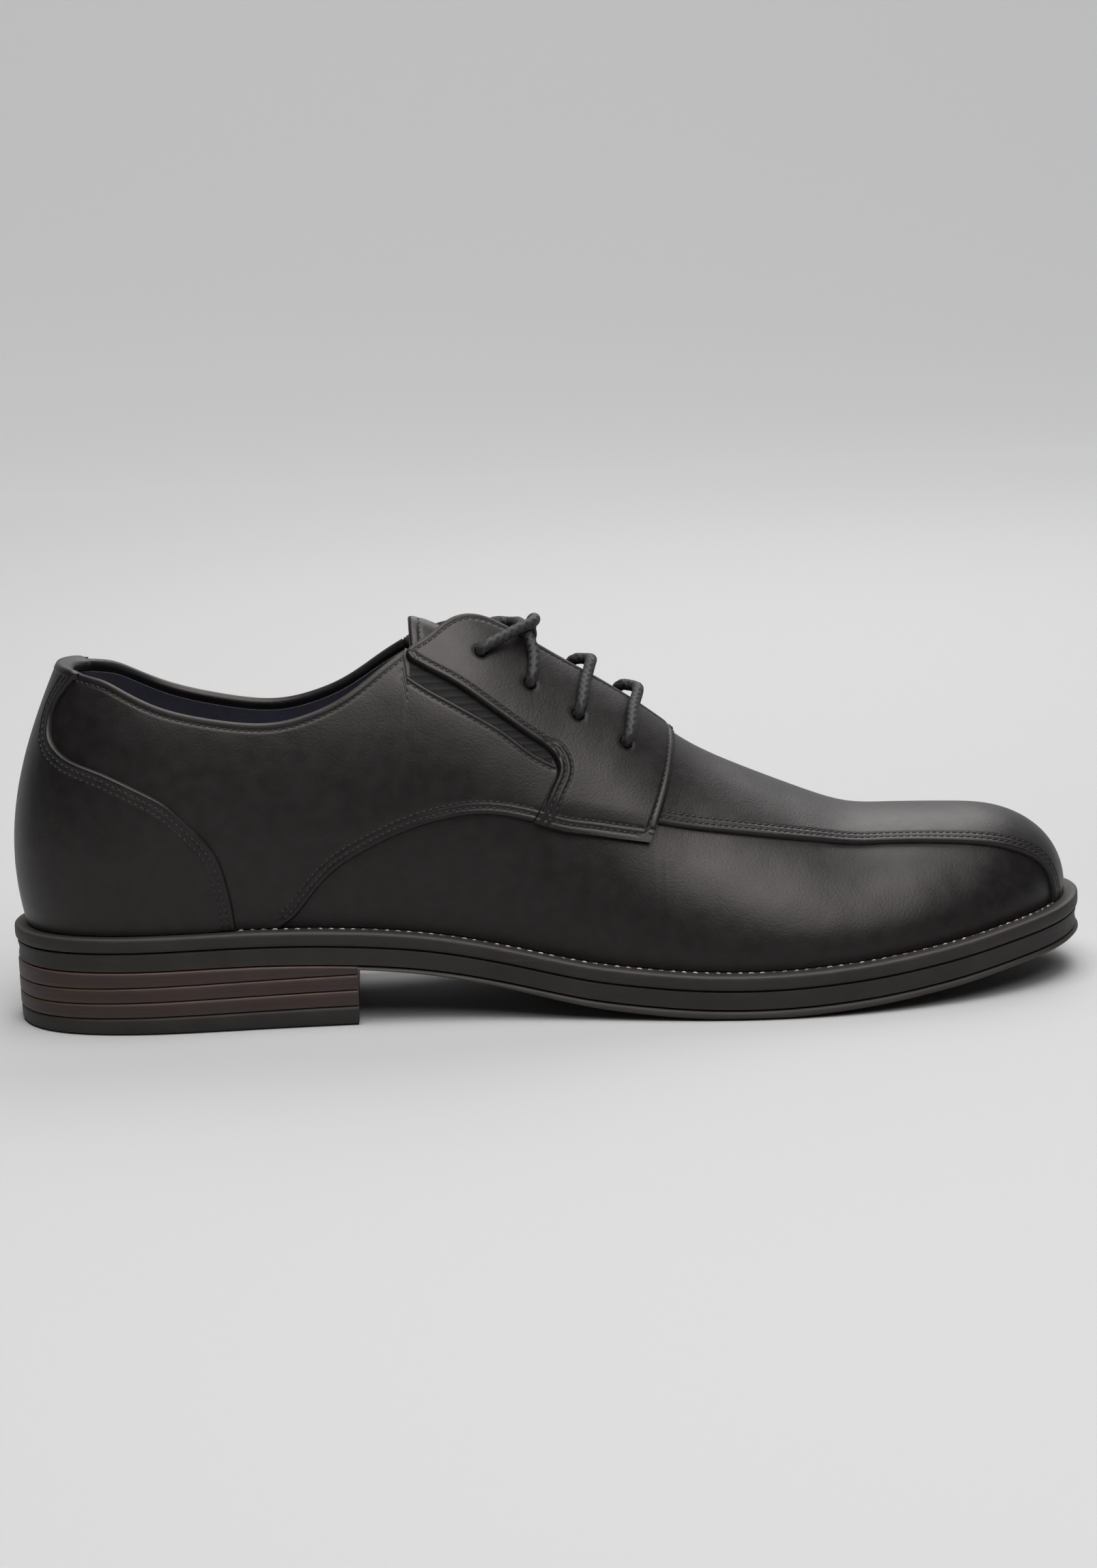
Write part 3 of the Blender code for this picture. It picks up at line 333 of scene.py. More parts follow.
def outward(turn, up):
    """Unit normal of the last, pointing away from the foot."""
    step = 1e-3
    inner = np.clip(up, step, 0.985)
    side = np.where(turn < 0, -1, 1)
    round_turn = np.clip(np.abs(turn), step, 1 - step) * side
    across = last_point(round_turn + step, inner) - last_point(round_turn - step, inner)
    rising = last_point(turn, inner + step) - last_point(turn, inner - step)
    normal = np.cross(across, rising)
    normal /= np.linalg.norm(normal, axis=-1, keepdims=True)
    from_ridge = last_point(turn, 0.0) - last_point(turn, 1.0)
    normal *= np.sign((normal[..., :2] * from_ridge[..., :2]).sum(-1))[..., None]
    on_middle = (np.abs(turn) > 1 - 1e-9) | (np.abs(turn) < 1e-9) | (up > 1 - 1e-9)
    normal[..., 1] = np.where(on_middle, 0, normal[..., 1])
    x = last_point(turn, 1.0)[..., 0]
    fall = (ridge(x - 0.001)[0] - ridge(x + 0.001)[0]) / 0.002
    normal[..., 0] = np.where(up > 1 - 1e-9, fall, normal[..., 0])
    normal[..., 2] = np.where(up > 1 - 1e-9, 1, normal[..., 2])
    return normal / np.linalg.norm(normal, axis=-1, keepdims=True)


def skin(turn, up, off=0.0):
    """Point at a distance out from the last, kept above the welt."""
    turn, up = np.broadcast_arrays(np.asarray(turn, float), np.asarray(up, float))
    point = last_point(turn, up) + outward(turn, up) * np.asarray(off)[..., None]
    point[..., 2] = np.maximum(point[..., 2], seat(point[..., 0]) + CLEAR)
    return point


def above_collar(turn, up):
    """Height of the last's point over the collar's line at its place along the shoe."""
    point = last_point(turn, up)
    return point[..., 2] - COLLAR_HEIGHT * column(COLLAR, share_along(point[..., 0]), 1)


def opening(turn):
    """up of the wall's edge: the collar by halving, then the throat, then 1 where the wall closes."""
    turn = np.asarray(turn, float)
    low, high = np.zeros_like(turn), np.ones_like(turn)
    for _ in range(40):
        middle = (low + high) / 2
        under = above_collar(turn, middle) < 0
        low, high = np.where(under, middle, low), np.where(under, high, middle)
    away = np.abs(turn)
    throat = np.minimum(column(THROAT, away, 1), 1)
    up = np.where(away < COLLAR_END, (low + high) / 2, throat)
    return np.where(away > THROAT_END - 1e-9, 1.0, up)


def middle_turns(x, sign):
    """turn, on one side, of the section whose ridge is at x."""
    turns = np.linspace(0, 1, 2001)
    middle_x = np.maximum.accumulate(last_point(sign * turns, 1.0)[:, 0])
    return sign * np.interp(x, middle_x, turns)


# The longest of Newton's steps, in turn or up
LONGEST_STEP = 0.05


def on_plan(x, y, first_up):
    """turn and up of the last under a place seen from above, by Newton's steps from a first guess."""
    x, y, up = np.broadcast_arrays(np.asarray(x, float), np.asarray(y, float), np.asarray(first_up, float))
    turn = np.where(y < ridge(x)[1], middle_turns(x, -1), middle_turns(x, 1))
    step = 1e-4
    for _ in range(14):
        here = last_point(turn, up)[..., :2]
        by_turn = (last_point(turn + step, up)[..., :2] - here) / step
        by_up = (last_point(turn, up + step)[..., :2] - here) / step
        miss = np.stack([x, y], -1) - here
        size = by_turn[..., 0] * by_up[..., 1] - by_turn[..., 1] * by_up[..., 0]
        more_turn = (miss[..., 0] * by_up[..., 1] - miss[..., 1] * by_up[..., 0]) / size
        more_up = (by_turn[..., 0] * miss[..., 1] - by_turn[..., 1] * miss[..., 0]) / size
        turn = turn + np.clip(more_turn, -LONGEST_STEP, LONGEST_STEP)
        up = up + np.clip(more_up, -LONGEST_STEP, LONGEST_STEP)
        up = np.minimum(up, 1.0)
    return turn, up


def at_x(x, up, sign):
    """turn, on one side, of the last's point at x and at this share of the way up, by Newton's steps."""
    x, up = np.broadcast_arrays(x, up)
    turn = middle_turns(x, sign)
    step = 1e-4
    for _ in range(8):
        here = last_point(turn, up)[..., 0]
        slope = (last_point(turn + step, up)[..., 0] - here) / step
        turn = turn + np.clip((x - here) / slope, -LONGEST_STEP, LONGEST_STEP)
    return turn


# Meshes: points that are merged, and the angle between faces from which an edge looks sharp
MERGE = 1e-7
SHARP_ANGLE = math.radians(50)

# Rolled edges: the share of the thickness that is left at the very edge
THIN_EDGE = 0.06

# Facing: how far it sinks at its bottom edge and over what width, and the dip round each eyelet
BOTTOM_SINK = 0.0008
BOTTOM_REACH = 0.009
HOLE_DIP = 0.00025
HOLE_REACH = 0.0006

# Flat chart of the last for ways along its skin: length of one turn and of one up
CHART = np.array([0.350, 0.095])

# Step in turn that keeps the quarter's two top edges apart where the collar meets the slit
COLLAR_STEP = 0.001

# Insets of the stitch rows from a piece's edge: single rows, then double ones
COLLAR_ROW = (0.0023,)
SLIT_ROW = (0.0018,)
FACING_ROW = (0.0020,)
COUNTER_ROWS = (0.0021, 0.0037)
LOW_ROWS = (0.0020, 0.0037)
SEAM_ROWS = (0.0020, 0.0038)

# A seam line stays clear of the piece's other edges by this share of its inset
SEAM_CLEAR = 0.85


def crowd(count, amount=0.75):
    """Shares from 0 to 1 that lie closer at both ends: each share less amount times its own sine."""
    share = np.linspace(0, 1, count)
    return share - amount * np.sin(2 * np.pi * share) / (2 * np.pi)


def grid_quads(columns, rows, loop=False):
    """Corners of the quads of a grid of points that is stored column by column."""
    first = np.arange(columns if loop else columns - 1)[:, None] * rows
    after = (first + rows) % (columns * rows)
    step = np.arange(rows - 1)
    return np.stack([first + step, after + step, after + step + 1, first + step + 1], -1).reshape(-1, 4)


def tube_quads(columns, around):
    """Corners of the quads of a tube that is stored ring by ring."""
    index = np.arange(columns * around).reshape(columns, around)
    after = np.roll(index, -1, 1)
    return np.stack([index[:-1], index[1:], after[1:], after[:-1]], -1).reshape(-1, 4)


def way_along(line):
    """Way along a line of points up to each of them."""
    return np.append(0, np.cumsum(np.linalg.norm(np.diff(line, axis=0), axis=1)))


def add_mesh(name, points, faces, marks=None):
    """An object from points and quads, with doubles merged and faces turned outwards. marks are values that
    the materials read, one for each point."""
    mesh = bpy.data.meshes.new(name)
    mesh.from_pydata(np.asarray(points).reshape(-1, 3).tolist(), [], faces.tolist())
    for key, values in (marks or {}).items():
        layer = mesh.attributes.new(key, "FLOAT", "POINT")
        layer.data.foreach_set("value", np.asarray(values, np.float32).ravel())
    shape = bmesh.new()
    shape.from_mesh(mesh)
    bmesh.ops.remove_doubles(shape, verts=shape.verts, dist=MERGE)
    bmesh.ops.recalc_face_normals(shape, faces=shape.faces)
    shape.to_mesh(mesh)
    shape.free()
    mesh.shade_smooth()
    mesh.set_sharp_from_angle(angle=SHARP_ANGLE)
    made = bpy.data.objects.new(name, mesh)
    bpy.context.scene.collection.objects.link(made)
    return made


def shell(name, outer, inner, loop=False, closed=None):
    """A wall between two grids of points. closed marks the columns whose last row meets the other side, so
    that no edge is needed there."""
    columns, rows = outer.shape[:2]
    half = columns * rows
    face = grid_quads(columns, rows, loop)
    index = np.arange(half).reshape(columns, rows)
    if loop:
        index = np.concatenate([index, index[:1]])
    lines = [index[:, 0]] if loop else [index[:, 0], index[0], index[-1]]
    edges = [np.stack([a[:-1], a[1:], half + a[1:], half + a[:-1]], -1) for a in lines]
    top = index[:, -1]
    top = np.stack([top[:-1], top[1:], half + top[1:], half + top[:-1]], -1)
    if closed is not None:
        around = np.append(closed, closed[0])
        top = top[~(around[:-1] & around[1:])]
    faces = np.concatenate([face, face[:, ::-1] + half, *edges, top])
    return add_mesh(name, np.concatenate([outer.reshape(-1, 3), inner.reshape(-1, 3)]), faces)


def distance_to(points, line):
    """Distance of each point from a line: the nearest place on each straight piece is the point's projection,
    held between the piece's ends, and the least of those distances counts."""
    start, piece = line[:-1], np.diff(line, axis=0)
    square = np.maximum((piece**2).sum(-1), 1e-18)
    flat = points.reshape(-1, 3)
    nearest = []
    for part in np.array_split(flat, len(flat) // 4000 + 1):
        away = part[:, None] - start
        share = np.clip((away * piece).sum(-1) / square, 0, 1)
        away -= share[..., None] * piece
        nearest.append(np.sqrt((away**2).sum(-1).min(-1)))
    return np.concatenate(nearest).reshape(points.shape[:-1])


def relief(place, edges, sizes, roll):
    """Height of a leather piece as a share of its thickness, a quarter ellipse near its free edges, and the
    troughs that its stitches press in, one bell curve for each row of stitches."""
    near = np.full(place.shape[:-1], 1.0)
    trough = np.zeros_like(near)
    for line, rows in edges:
        away = distance_to(place, line)
        near = np.minimum(near, away)
        for row in rows:
            trough += np.exp(-(((away - row) / sizes.trough_width) ** 2))
    height = np.sqrt(1 - np.clip(1 - near / roll, 0, 1) ** 2)
    return np.maximum(height, THIN_EDGE), sizes.trough_depth * np.minimum(trough, 1)


def panel(name, turn, up, base, top, edges, sizes):
    """A leather piece over the last from base to top, rolled at its free edges and pressed in at its seams."""
    top = np.broadcast_to(top, turn.shape)
    lines = [(skin(*line, top.mean()), rows) for *line, rows in edges]
    height, trough = relief(skin(turn, up, top), lines, sizes, sizes.edge_roll)
    outer = skin(turn, up, base + (top - base) * height - trough)
    return shell(name, outer, skin(turn, up, base))


def inset_line(turn, up, distance):
    """A line over the last moved sideways: the step is along the cross product of the surface's normal and
    the line's direction, and least squares on the last's two slopes turn it into turn and up."""
    step = 1e-4
    by_turn = (last_point(turn + step, up) - last_point(turn - step, up)) / (2 * step)
    by_up = (last_point(turn, up + step) - last_point(turn, up - step)) / (2 * step)
    along = np.gradient(last_point(turn, up), axis=0)
    along /= np.linalg.norm(along, axis=-1, keepdims=True)
    aside = np.cross(outward(turn, up), along) * distance
    a, b, c = (by_turn**2).sum(-1), (by_turn * by_up).sum(-1), (by_up**2).sum(-1)
    p, q = (by_turn * aside).sum(-1), (by_up * aside).sum(-1)
    size = a * c - b * b
    return turn + (p * c - q * b) / size, up + (q * a - p * b) / size


def seam_lines(turn, up, edges, top):
    """Lines of points and normals for the stitches beside a piece's edges, kept clear of its other edges.
    top is a function of turn and up that gives the height of the leather in the seam."""
    centre = last_point(turn, up).reshape(-1, 3).mean(0)
    borders = [last_point(line_turn, line_up) for line_turn, line_up, _ in edges]
    found = []
    for line_turn, line_up, rows in edges:
        for row in rows:
            tries = [inset_line(line_turn, line_up, side * row) for side in (1, -1)]
            inside = min(tries, key=lambda t: np.linalg.norm(last_point(*t) - centre, axis=-1).mean())
            place = last_point(*inside)
            clearance = np.min([distance_to(place, border) for border in borders], 0)
            clear = clearance > SEAM_CLEAR * row
            cuts = np.flatnonzero(np.diff(clear.astype(int))) + 1
            for run in np.split(np.arange(len(clear)), cuts):
                if clear[run[0]] and len(run) > 4:
                    a, b = inside[0][run], inside[1][run]
                    found.append((skin(a, b, top(a, b)), outward(a, b)))
    return found


def smooth_line(rows, count):
    """Even points of the spline through rows of turn and up, measured on the flat chart of the last."""
    rows = np.asarray(rows, float)
    way = way_along(rows * CHART)
    at = np.linspace(0, way[-1], count)
    return np.stack([spline(way, rows[:, k], at) for k in (0, 1)], -1)


def quarter_grid(sign, behind=150, ahead=60, rows=84):
    """turn and up over a quarter: columns run from its lower edge to the collar, and past the ankle to the
    slit, and lean back towards the hooked seam at its front."""
    back = QUARTER_BACK + (COLLAR_END - COLLAR_STEP - QUARTER_BACK) * np.linspace(0, 1, behind)
    front = COLLAR_END + COLLAR_STEP + (QUARTER_FRONT - COLLAR_END - COLLAR_STEP) * np.linspace(0, 1, ahead)
    high_turn = np.concatenate([back, front])
    lean = smooth(QUARTER_LEAN_START, QUARTER_FRONT, high_turn)
    low_turn = high_turn - (QUARTER_FRONT - QUARTER_LOW[-1][0] + HOOK_CLEAR) * lean
    foot = np.where(low_turn < QUARTER_LOW[0][0], 0, column(QUARTER_LOW, low_turn, 1))
    top = np.where(high_turn < COLLAR_END, opening(sign * high_turn), column(SLIT, high_turn, 1))
    share = crowd(rows)
    up = foot[:, None] + (top - foot)[:, None] * share
    turn = low_turn[:, None] + (high_turn - low_turn)[:, None] * share
    hook = column(HOOK, up[-1], 1) - HOOK_CLEAR - turn[-1]
    turn = turn + hook[None, :] * smooth(COLLAR_END, QUARTER_FRONT, high_turn)[:, None]
    over_vamp = foot > 0.001
    edges = [
        (sign * turn[:behind, -1], up[:behind, -1], COLLAR_ROW),
        (sign * turn[behind:, -1], up[behind:, -1], SLIT_ROW),
        (sign * turn[over_vamp, 0], up[over_vamp, 0], LOW_ROWS),
    ]
    return sign * turn, up, edges


def counter_grid(columns=171, rows=120):
    """turn and up over the heel counter: rows run round the heel between its two free edges."""
    rise = np.linspace(0, 1, rows)
    turn = (2 * crowd(columns) - 1)[:, None] * column(COUNTER, rise, 1)[None, :]
    up = rise[None, :] * opening(turn)
    sides = [(turn[k], up[k], COUNTER_ROWS) for k in (0, -1)]
    return turn, up, sides + [(turn[:, -1], up[:, -1], ())]


def strip_grid(columns=121, body=110, toe=24, front=70):
    """turn and up along lines of the strip between the bicycle seams, from under the facings to the toe's
    feather: even shares of its width over the body, then drawn together over the toe."""
    across = 2 * crowd(columns) - 1
    side = np.where(across < 0, -1, 1)[:, None]
    width = np.abs(across)[:, None]
    start = STRIP_START + STRIP_START_BOW * (1 - across**2)
    body_x = (start[:, None] + (STRIP_TOE_START - start)[:, None] * np.linspace(0, 1, body) - 0.5) * LENGTH
    edge = column(STRIP, np.abs(np.where(side < 0, middle_turns(body_x, -1), middle_turns(body_x, 1))), 1)
    body_up = 1 - (1 - edge) * width
    body_turn = np.where(side < 0, at_x(body_x, body_up, -1), at_x(body_x, body_up, 1))
    away = last_point(body_turn[:, -1], body_up[:, -1])[:, 1] - ridge(body_x[:, -1])[1]
    toe_x = (np.linspace(STRIP_TOE_START, STRIP_FRONT, toe)[1:] - 0.5) * LENGTH
    toe_y = ridge(toe_x)[1] + away[:, None] * column(STRIP_TOE, share_along(toe_x), 1)
    toe_turn, toe_up = on_plan(toe_x[None, :], toe_y, body_up[:, -1:])
    front_turn, front_up = toe_front(toe_x[-1], away, toe_up[:, -1], front)
    turn = np.concatenate([body_turn, toe_turn, front_turn], 1)
    up = np.concatenate([body_up, toe_up, front_up], 1)
    return turn, up, [(turn[k], up[k], SEAM_ROWS) for k in (0, -1)]


# turn from which the toe's front is searched
TOE_FRONT_START = 0.75


def toe_front(first_x, away, first_up, rows):
    """turn and up of the strip's lines down the front of the toe: x follows a quarter sine out to the
    feather, and turn is found by halving."""
    down = np.linspace(0, 1, rows + 1)[1:]
    up = first_up[:, None] * (1 - down)
    x = first_x + (LENGTH / 2 - FEATHER_INSET_TOE - first_x) * np.sin(down * np.pi / 2)
    y = ridge(first_x)[1] + away[:, None] * column(STRIP_TOE, share_along(x), 1)
    side = np.where(y < last_point(1.0, up)[..., 1], -1.0, 1.0)
    low, high = np.full_like(up, TOE_FRONT_START), np.ones_like(up)
    for _ in range(40):
        middle = (low + high) / 2
        short = (last_point(side * middle, up)[..., 1] - y) * side > 0
        low, high = np.where(short, middle, low), np.where(short, high, middle)
    return side * (low + high) / 2, up


# Row of FACING at the foot of the hooked seam
HOOK_FOOT = 11


def facing_grid(sign, columns=150, rows=150):
    """turn and up over a facing: a Coons patch, the mean of the ways across between its four sides less the
    mean of its corners. The sides are slit with hook, front, bottom, and the long top edge."""
    table = np.array(FACING)
    high_up = table[:, 3]
    if sign > 0:
        high_up = high_up - INNER_FACING_DROP * smooth(FACING[0][2], EYELETS[0][0], table[:, 2])
    low = table[:, :2]
    high = np.stack([table[:, 2], high_up], -1)
    share = np.linspace(0, 1, 9)[:, None]
    bow = np.concatenate([FRONT_BOW * 4 * share * (1 - share), 0 * share], 1)
    slit = smooth_line(low[HOOK_FOOT::-1], 400)
    front = smooth_line(low[-1] + (high[-1] - low[-1]) * share + bow, 400)
    bottom = smooth_line(low[HOOK_FOOT:], 400)
    top = smooth_line(np.concatenate([low[:1], high]), 400)
    u, v, fine = crowd(columns, 0.6), crowd(rows, 0.6), np.linspace(0, 1, 400)
    left, right = (np.stack([np.interp(v, fine, s[:, k]) for k in (0, 1)], -1)[None] for s in (slit, front))
    foot, head = (np.stack([np.interp(u, fine, s[:, k]) for k in (0, 1)], -1)[:, None] for s in (bottom, top))
    u, v = u[:, None, None], v[None, :, None]
    corners = (1 - u) * ((1 - v) * bottom[0] + v * top[0]) + u * ((1 - v) * bottom[-1] + v * top[-1])
    place = (1 - u) * left + u * right + (1 - v) * foot + v * head - corners
    hook_from = np.argmin(np.abs(slit[:, 1] - HOOK[-1][0]))
    edges = [
        (sign * slit[:hook_from, 0], slit[:hook_from, 1], SEAM_ROWS),
        (sign * slit[hook_from:, 0], slit[hook_from:, 1], FACING_ROW),
        (sign * bottom[:, 0], bottom[:, 1], SEAM_ROWS),
        (sign * front[:, 0], front[:, 1], FACING_ROW),
        (sign * top[:, 0], top[:, 1], FACING_ROW),
    ]
    return sign * place[..., 0], place[..., 1], edges


# Where the outer facing starts to stand proud and where it does so in full: in up, then in turn
LIFT_UPS = (0.60, 0.95)
LIFT_TURNS = (0.38, 0.44)


def facing_top(turn, up, sign):
    """Distance of the facing's outside from the last; the outer facing stands a little proud at its edge."""
    lift = FACING_LIFT if sign < 0 else 0
    return SECOND_LEVEL + OVERLAY + lift * smooth(*LIFT_UPS, up) * smooth(*LIFT_TURNS, np.abs(turn))


def facing_sink(turn, up):
    """How far the facing sinks towards its bottom edge, where the vamp under it ends."""
    bottom = column([row[:2] for row in FACING[HOOK_FOOT:]], np.abs(turn), 1)
    return BOTTOM_SINK * (1 - smooth(0.0, BOTTOM_REACH, (up - bottom) * CHART[1]))


# Side of each sole layer from bottom to top: share of its thickness, inset from the outline, worn edge
WELT_SIDE = (
    (0.00, 0.0010, 1.0), (0.05, 0.0004, 0.6), (0.14, 0.0001, 0.0), (0.30, 0.0000, 0.0), (0.75, 0.0000, 0.0),
    (0.90, 0.0001, 0.2), (0.97, 0.0004, 0.8), (1.00, 0.0010, 1.0),
)
MIDSOLE_SIDE = (
    (0.00, 0.0014, 0.6), (0.04, 0.0008, 0.3), (0.15, 0.0007, 0.0), (0.50, 0.0010, 0.0), (0.85, 0.0006, 0.0),
    (0.96, 0.0007, 0.5), (1.00, 0.0013, 1.0),
)
TREAD_SIDE = (
    (0.00, 0.0030, 0.0), (0.08, 0.0014, 0.3), (0.25, 0.0004, 0.6), (0.50, 0.0000, 0.8), (0.80, 0.0001, 0.6),
    (0.95, 0.0004, 0.4), (1.00, 0.0012, 0.2),
)
LIFT_SIDE = (
    (0.00, 0.0013, 1.0), (0.04, 0.0007, 1.0), (0.12, 0.0005, 0.2), (0.30, 0.0005, 0.0), (0.70, 0.0005, 0.0),
    (0.88, 0.0005, 0.2), (0.96, 0.0007, 1.0), (1.00, 0.0013, 1.0),
)
TOP_LIFT_SIDE = (
    (0.00, 0.0022, 0.0), (0.06, 0.0012, 0.0), (0.22, 0.0007, 0.0), (0.80, 0.0006, 0.0), (0.93, 0.0007, 0.4),
    (1.00, 0.0012, 1.0),
)
RING_POINTS = 190
HEEL_POINTS = 100
RING_CROWDING = 0.3


def ring(inset, height, start=None, count=RING_POINTS):
    """Loop of points round the outline from start to the tip and back; no start is the heel's back."""
    share = crowd(count, RING_CROWDING)
    sides = []
    for sign in (-1, 1):
        fine = sign * np.linspace(0, 1, 2001)
        fine_x = np.maximum.accumulate(rim(fine, inset)[:, 0])
        first = np.interp(start, fine_x, np.abs(fine)) if start is not None else 0.0
        flat = rim(sign * (first + (1 - first) * share), inset)
        if start is not None:
            flat[0, 0] = start
        sides.append(np.column_stack([flat, height(flat[:, 0])]))
    return np.stack(sides)


def heel_ring(inset, height, breast, count=HEEL_POINTS):
    """Loop of points round the heel from its back to the breast on both sides."""
    sides = []
    for sign in (-1, 1):
        fine = np.linspace(0, 0.5, 2001)
        fine_x = np.maximum.accumulate(rim(sign * fine, inset)[:, 0])
        flat = rim(sign * np.interp(breast, fine_x, fine) * np.linspace(0, 1, count), inset)
        flat[-1, 0] = breast
        sides.append(np.column_stack([flat, height(flat[:, 0])]))
    return np.stack(sides)


def stacked(name, rings, worn, hollow=False):
    """A solid through level rings, each two sides that start and end together or on a straight edge. Hollow
    rings join the last to the first, and full ones are closed by strips from side to side."""
    count = rings[0].shape[1]
    size = 2 * count
    loop = np.concatenate([np.arange(count), count + np.arange(count)[::-1]])
    ahead = np.roll(loop, -1)
    level = np.arange(len(rings) if hollow else len(rings) - 1)[:, None]
    low, high = level * size, (level + 1) % len(rings) * size
    faces = [np.stack([low + loop, low + ahead, high + ahead, high + loop], -1).reshape(-1, 4)]
    if not hollow:
        strip = np.arange(count - 1)
        cap = np.stack([strip, strip + 1, count + strip + 1, count + strip], -1)
        faces += [cap, cap + (len(rings) - 1) * size]
    marks = {"worn": np.repeat(worn, size)}
    return add_mesh(name, np.concatenate([r.reshape(-1, 3) for r in rings]), np.concatenate(faces), marks)


def layer(side, low, high, make):
    """Rings and worn shares of a layer's side between two height functions."""
    rings = [make(inset, lambda x, k=share: low(x) + (high(x) - low(x)) * k) for share, inset, _ in side]
    return rings, [row[2] for row in side]


def tread_bottom(x):
    """Underside of the tread layer: the seat less the layers' thickness, and never under the floor."""
    thickness = TREAD * column(TREAD_LINE, share_along(x), 1)
    return np.maximum(seat(x) - WELT - MIDSOLE - thickness, 0)


def stitch_form(length, radius, sides=6, rings=7):
    """One stitch: a circle carried along a line, its radius the fourth root of a bell, ends bent down."""
    way = -np.cos(np.linspace(0, np.pi, rings))
    width = radius * np.sqrt(np.clip(1 - way**4, 0, 1))
    angle = np.arange(sides) * 2 * np.pi / sides
    dip = 1.1 * radius * way**4
    place = np.stack([
        np.repeat(way[:, None] * length / 2, sides, 1),
        width[:, None] * np.cos(angle),
        width[:, None] * np.sin(angle) * 0.8 - dip[:, None],
    ], -1)
    return place.reshape(-1, 3), tube_quads(rings, sides)


def stitches(name, lines, pitch, length, radius):
    """Stitches at even steps along lines of points and normals, each turned to its line's direction."""
    form, faces = stitch_form(length, radius)
    places = []
    for points, normals in lines:
        way = way_along(points)
        at = np.arange(pitch, way[-1] - pitch / 2, pitch)
        centre, along, up = (
            np.stack([np.interp(at, way, rows[:, k]) for k in range(3)], -1)
            for rows in (points, np.gradient(points, axis=0), normals)
        )
        along /= np.linalg.norm(along, axis=-1, keepdims=True)
        across = np.cross(up, along)
        across /= np.linalg.norm(across, axis=-1, keepdims=True)
        axes = np.stack([along, across, np.cross(along, across)], 1)
        places.append(centre[:, None] + np.einsum("pk,nkj->npj", form, axes))
    points = np.concatenate(places)
    steps = np.arange(len(points))[:, None, None] * len(form)
    return add_mesh(name, points, (faces[None] + steps).reshape(-1, 4))


# Routes of the lace over the facings, from the outer side to the inner one: rise is in lace thicknesses
LACE_BAR = (
    # turn past the eyelet, share of the way up from the eyelet to the edge, rise
    (0.003, 0.45, 0.0), (0.006, 0.80, 0.0), (0.007, 1.00, 0.2), (0.004, 1.15, 0.4), (-0.002, 1.00, 0.2),
    (-0.004, 0.80, 0.0), (-0.002, 0.45, 0.0),
)
LACE_OVER = (
    # turn, share, rise
    (0.443, 0.35, 0.1), (0.455, 0.72, 0.6), (0.464, 1.00, 0.9), (0.468, 1.15, 0.6), (0.470, 1.00, 0.3),
    (0.470, 0.70, 0.0), (0.470, 0.35, 0.0),
)
LACE_UNDER = (
    # turn, share, rise
    (0.470, 0.35, 0.0), (0.468, 0.70, 0.0), (0.461, 1.00, 0.0), (0.452, 1.15, 0.1), (0.445, 1.00, 0.0),
    (0.440, 0.70, 0.0), (0.436, 0.35, 0.0),
)

# Height over the last of a lace pressed flat under the facing, and its share of the lace's thickness there
TUCKED = 0.0008
TUCKED_SHARE = 0.78

# In an eyelet: heights past the facing's outside, and the lace's shares of its thickness there
EYELET_OVER = 0.0008
EYELET_UNDER = 0.0013
EYELET_SHARES = (0.95, 0.86)

# Braid: strands that wind each way, and the depth of its furrows as a share of the lace's radius
BRAID_STRANDS = 4
BRAID_DEPTH = 0.07


def over_facings(rows, eye_turn=0.0):
    """Points of a lace over the facings from rows of turn, share of the way up to the edge, and rise."""
    rows = np.array(rows, float)
    crest = int(np.argmax(rows[:, 1]))
    side = np.where(np.arange(len(rows)) < crest, -1, 1)
    turn = rows[:, 0] + eye_turn
    eye_up = column(EYELETS, turn, 1)
    edge = np.where(side < 0, FACING[4][3], FACING[4][3] - INNER_FACING_DROP)
    up = np.minimum(eye_up + (edge - eye_up) * rows[:, 1], 1.0)
    top = np.where(side < 0, facing_top(turn, up, -1), facing_top(turn, up, 1))
    points = skin(side * turn, up, top + CLEAR + LACE * (0.5 + rows[:, 2]))
    return np.column_stack([points, np.ones(len(points))])


def through(number, side):
    """Points of the lace from over an eyelet to under the facing."""
    turn, up = EYELETS[number]
    top = float(facing_top(turn, up, side))
    points = skin(np.full(3, side * turn), up, np.array([top + EYELET_OVER, top - EYELET_UNDER, TUCKED]))
    return np.column_stack([points, [*EYELET_SHARES, TUCKED_SHARE]])


def tucked(*places):
    """Points of the lace under the facings and over the tongue, from places of turn and up."""
    turn, up = np.array(places, float).T
    return np.column_stack([skin(turn, up, TUCKED), np.full(len(turn), TUCKED_SHARE)])


def lace_route():
    """The one lace from its end under the outer top eyelet to its end under the inner top eyelet."""
    a, b, c, d = range(len(EYELETS))
    return np.concatenate([
        tucked((-0.412, 0.800), (-0.421, 0.815)),
        through(a, -1)[::-1],
        over_facings(LACE_OVER),
        through(b, 1),
        tucked((0.481, 0.860), (0.490, 0.960), (-0.497, 0.860)),
        through(c, -1)[::-1],
        over_facings(LACE_BAR, EYELETS[c][0]),
        through(c, 1),
        tucked((0.526, 0.713)),
        through(d, 1)[::-1],
        over_facings(LACE_BAR, EYELETS[d][0])[::-1],
        through(d, -1),
        tucked((-0.530, 0.675), (-0.507, 0.680), (-0.485, 0.720)),
        through(b, -1)[::-1],
        over_facings(LACE_UNDER),
        through(a, 1),
        tucked((0.421, 0.815), (0.412, 0.800)),
    ])


